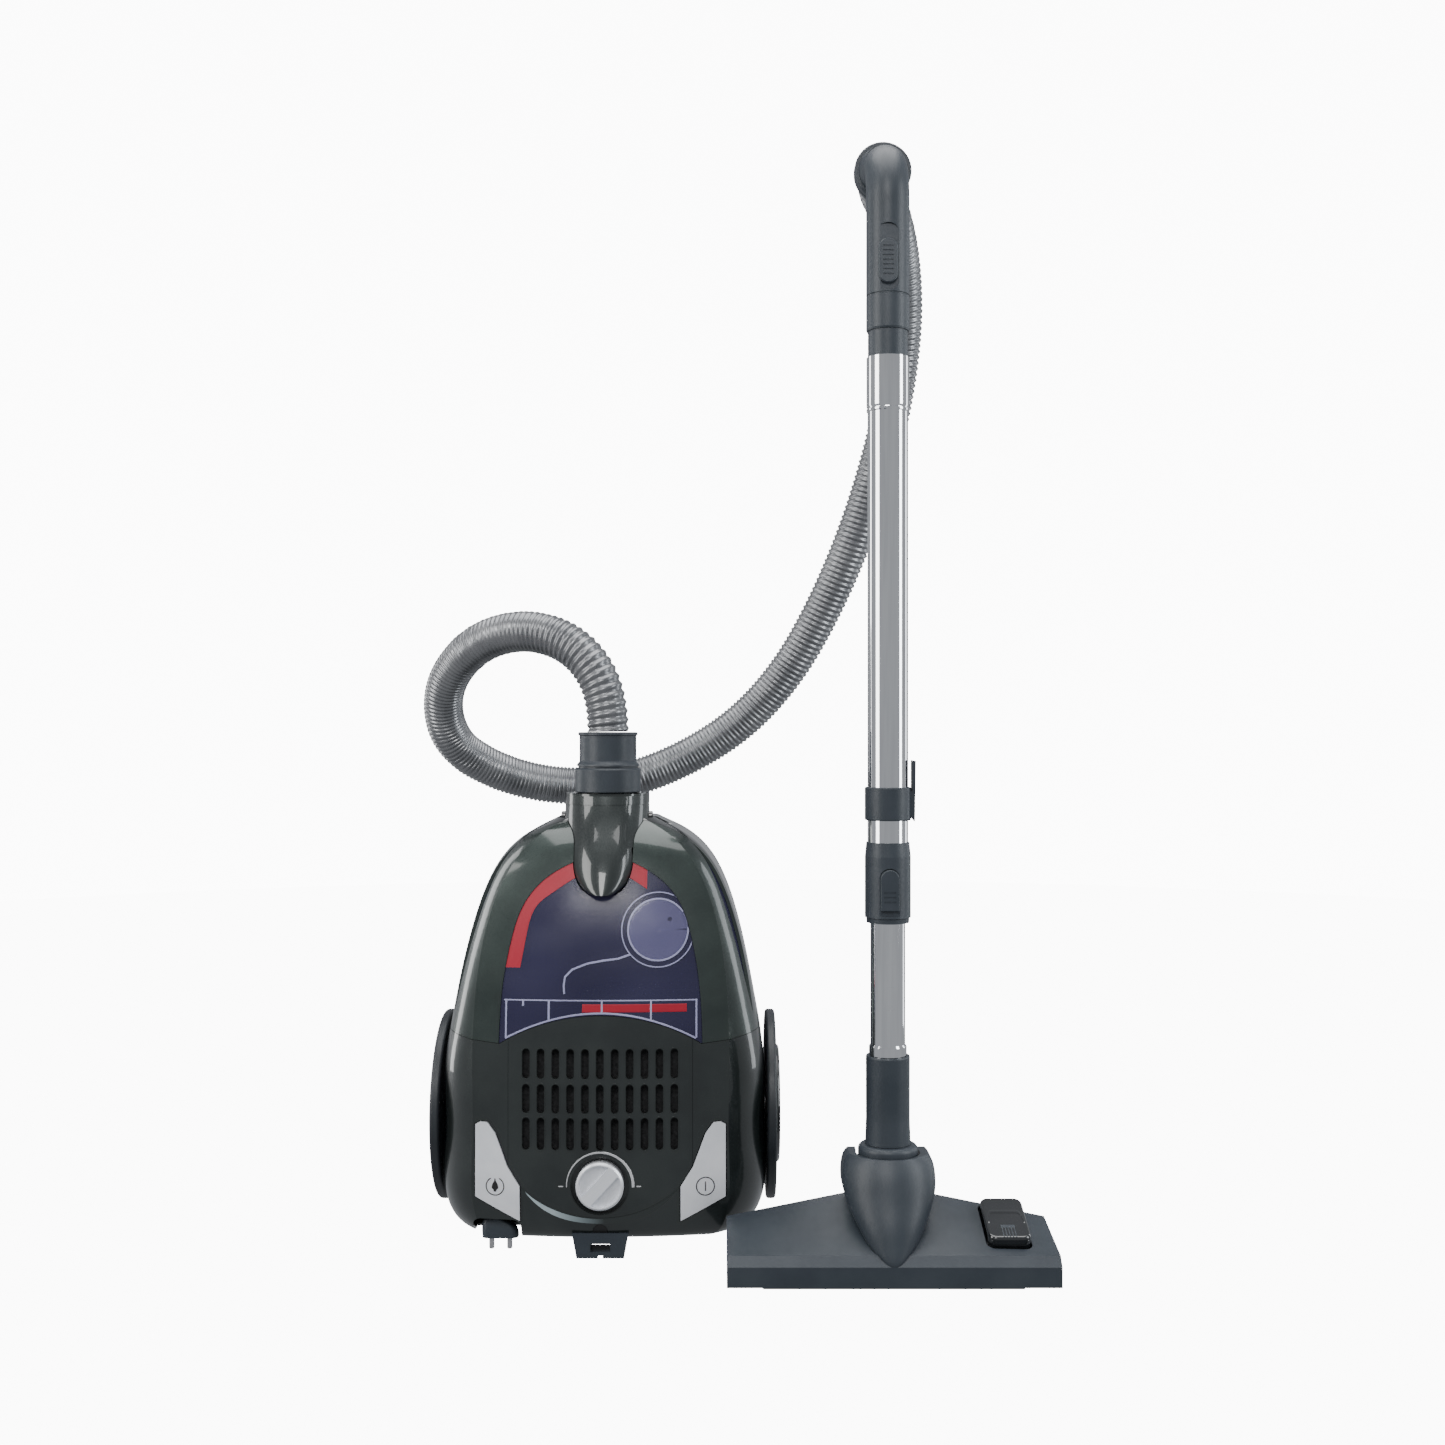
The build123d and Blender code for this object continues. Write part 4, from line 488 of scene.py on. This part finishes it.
# painted highlight: a pale line along the window's lower edge where light catches it
edge_and_highlight_strip("bin_lower_edge_highlight",
           [(CANISTER_X + u / 1000, seam_z(u / 1000) + 0.0022) for u in range(-84, 85, 4)], 0.0016)
for k, (u, wide) in enumerate(((-0.0835, 0.0016), (-0.0455, 0.0018), (0.0013, 0.0016), (0.0445, 0.0016),
                               (0.0845, 0.0016))):
    low = seam_z(u) + 0.003
    edge_and_highlight_strip(f"bin_rib_edge_{k}",
               [(CANISTER_X + u, low + (WINDOW_SHELF_Z - low) * i / 12) for i in range(13)], wide)
edge_and_highlight_strip("bin_rib_edge_short",
           [(CANISTER_X - 0.0684, WINDOW_SHELF_Z - 0.005 * i / 4) for i in range(5)], 0.0018)

# on the same face: the round cyclone tube, the guide wall that curls away from it and the red filter
RING_X, RING_Z, RING_STEPS = CANISTER_X + 0.0503, 0.2870, 72
ON_GLASS = 0.0001
draped_ribbon("bin_ring_glass", "bin_body", circle_path(RING_X, RING_Z, 0.0133, 0, 360, RING_STEPS), 0.0262,
              0.0001, "dust_bin", RING_GLASS, lift=ON_GLASS)
for name, radius, wide in (("outer", 0.0322, 0.0011), ("inner", 0.0266, 0.0016)):
    draped_ribbon(f"bin_ring_{name}", "bin_body", circle_path(RING_X, RING_Z, radius, 0, 360, RING_STEPS),
                  wide, 0.0004, "dust_bin", CLEAR_EDGE_AND_HIGHLIGHT, lift=ON_GLASS)
CURL = [(0.0260, 0.2658), (0.0150, 0.2622), (0.0020, 0.2606), (-0.0120, 0.2580), (-0.0250, 0.2530),
        (-0.0315, 0.2465), (-0.0325, 0.2390), (-0.0320, 0.2320)]
draped_ribbon("bin_curl", "bin_body", [(CANISTER_X + u, z) for u, z in CURL], 0.0018, 0.0004, "dust_bin",
              CLEAR_EDGE_AND_HIGHLIGHT, lift=ON_GLASS)
FILTER_START, FILTER_LENGTH, FILTER_Z = CANISTER_X - 0.016, 0.092, 0.2196
draped_ribbon("bin_filter_band", "bin_body",
              [(FILTER_START + FILTER_LENGTH * i / 24, FILTER_Z) for i in range(25)], 0.0070, 0.0001,
              "dust_bin", MATERIALS["red"], lift=ON_GLASS)

# the raised rim and the brush sign on the nozzle's pedal
PEDAL_X, PEDAL_Z = WAND_X + 0.099, 0.0415
PEDAL_HALF, PEDAL_RISE, PEDAL_CORNER = 0.0150, 0.0095, 0.0045
pedal_rim = []
for side, end, start in ((1, 1, 0), (-1, 1, 90), (-1, -1, 180), (1, -1, 270)):
    pedal_rim += circle_path(PEDAL_X + side * (PEDAL_HALF - PEDAL_CORNER),
                             PEDAL_Z + end * (PEDAL_RISE - PEDAL_CORNER), PEDAL_CORNER, start, start + 90, 6)
pedal_rim.append(pedal_rim[0])
draped_ribbon("brush_sign_rim", "nozzle_pedal", pedal_rim, 0.0013, 0.0005, "brush_pedal",
              MATERIALS["black_gloss"])
sign_bar = [(PEDAL_X - 0.006, PEDAL_Z + 0.003), (PEDAL_X + 0.006, PEDAL_Z + 0.003)]
draped_ribbon("brush_sign_bar", "nozzle_pedal", sign_bar, 0.0012, 0.0002, "brush_pedal",
              MATERIALS["slate"])
for k in range(5):
    x = PEDAL_X + (k - 2) * 0.0026
    draped_ribbon(f"brush_sign_tuft_{k}", "nozzle_pedal", [(x, PEDAL_Z + 0.0024), (x, PEDAL_Z - 0.0016)],
                  0.0009, 0.0002, "brush_pedal", MATERIALS["slate"])

# a rounded rim round each louvre slot
GRILLE_PITCH = 0.01304
SLOT_HALF = 0.0033
for row, (z, length) in enumerate(((0.1714, 0.0262), (0.1408, 0.0254), (0.1100, 0.0282))):
    for column in range(11):
        x = CANISTER_X + (column - 5) * GRILLE_PITCH
        straight = length / 2 - SLOT_HALF
        loop = [(x + (SLOT_HALF + 0.0007) * math.cos(math.radians(a)),
                 z + math.copysign(straight, math.sin(math.radians(a)) + 1e-9)
                 + (SLOT_HALF + 0.0007) * math.sin(math.radians(a))) for a in range(0, 361, 15)]
        draped_ribbon(f"slot_rim_{row}_{column}", "exhaust_cover", loop, 0.0011, 0.0004, "canister",
                      MATERIALS["shell"], lift=-0.0001)

# ---------------------------------------------------------------- setting
# a round white floor that rises into a wall; it glows and stays out of the object's light and reflections
FLOOR_RADIUS, COVE_RADIUS, WALL_TOP, FLOOR_SIDES = 3.4, 1.2, 7.0, 72
floor_profile = [(FLOOR_RADIUS + COVE_RADIUS * math.sin(math.radians(a)),
                  COVE_RADIUS - COVE_RADIUS * math.cos(math.radians(a))) for a in range(0, 91, 6)]
floor_profile += [(FLOOR_RADIUS + COVE_RADIUS, WALL_TOP)]
floor_angles = [2 * math.pi * k / FLOOR_SIDES for k in range(FLOOR_SIDES)]
vertices = [(radius * math.cos(a), radius * math.sin(a), z)
            for radius, z in floor_profile for a in floor_angles]
faces = [tuple(range(FLOOR_SIDES))]
for i in range(len(floor_profile) - 1):
    for k in range(FLOOR_SIDES):
        a, b = i * FLOOR_SIDES + k, i * FLOOR_SIDES + (k + 1) % FLOOR_SIDES
        faces.append((a, b, b + FLOOR_SIDES, a + FLOOR_SIDES))
floor = mesh_object("floor", vertices, faces)
floor_mat, floor_tree, floor_shader, floor_coords = new_material("floor_white")
paper = noise(floor_tree, floor_coords, 2.0)
paper_tone = ramp(floor_tree, paper.outputs["Fac"], (0.90, 0.90, 0.90), (0.915, 0.915, 0.915))
floor_tree.links.new(paper_tone.outputs["Color"], floor_shader.inputs["Base Color"])
floor_shader.inputs["Roughness"].default_value = 0.9
floor_shader.inputs["Emission Color"].default_value = (1.0, 1.0, 1.0, 1.0)
floor_shader.inputs["Emission Strength"].default_value = 11.0
floor.visible_diffuse = False
floor.visible_glossy = False
floor.visible_transmission = False
floor.visible_shadow = False
floor.data.materials.append(floor_mat)
for face in floor.data.polygons:
    face.use_smooth = True


def area_light(name, place, target, size, power, colour=(1, 1, 1), size_y=None):
    """A soft rectangular light that faces a target."""
    data = bpy.data.lights.new(name, "AREA")
    data.energy = power
    data.color = colour
    data.shape = "RECTANGLE"
    data.size = size
    data.size_y = size_y or size
    obj = bpy.data.objects.new(name, data)
    obj.location = place
    obj.rotation_euler = (Vector(target) - Vector(place)).to_track_quat("-Z", "Y").to_euler()
    scene.collection.objects.link(obj)


area_light("key", (-1.7, -0.9, 1.05), (-0.05, 0, 0.45), 0.8, 30, (1, 0.99, 0.97), 1.9)
area_light("right_strip", (1.75, -0.6, 0.95), (0.05, 0, 0.45), 0.5, 22, (0.93, 0.97, 1.0), 1.8)
area_light("front_fill", (-0.3, -2.9, 2.4), (-0.05, 0, 0.25), 1.2, 46, (1.0, 0.99, 0.98))
area_light("left_rim", (-1.5, 0.75, 0.7), (-0.1, 0, 0.35), 0.35, 8, (1, 1, 1), 1.7)
area_light("right_rim", (1.6, 0.75, 0.7), (0.1, 0, 0.35), 0.35, 6, (0.92, 0.96, 1.0), 1.7)
area_light("top", (0.0, 0.2, 2.7), (0, 0.1, 0), 2.2, 60)

world = bpy.data.worlds.new("studio")
world.use_nodes = True
world.node_tree.nodes["Background"].inputs["Color"].default_value = (0.92, 0.95, 1.0, 1.0)
world.node_tree.nodes["Background"].inputs["Strength"].default_value = 0.40
scene.world = world
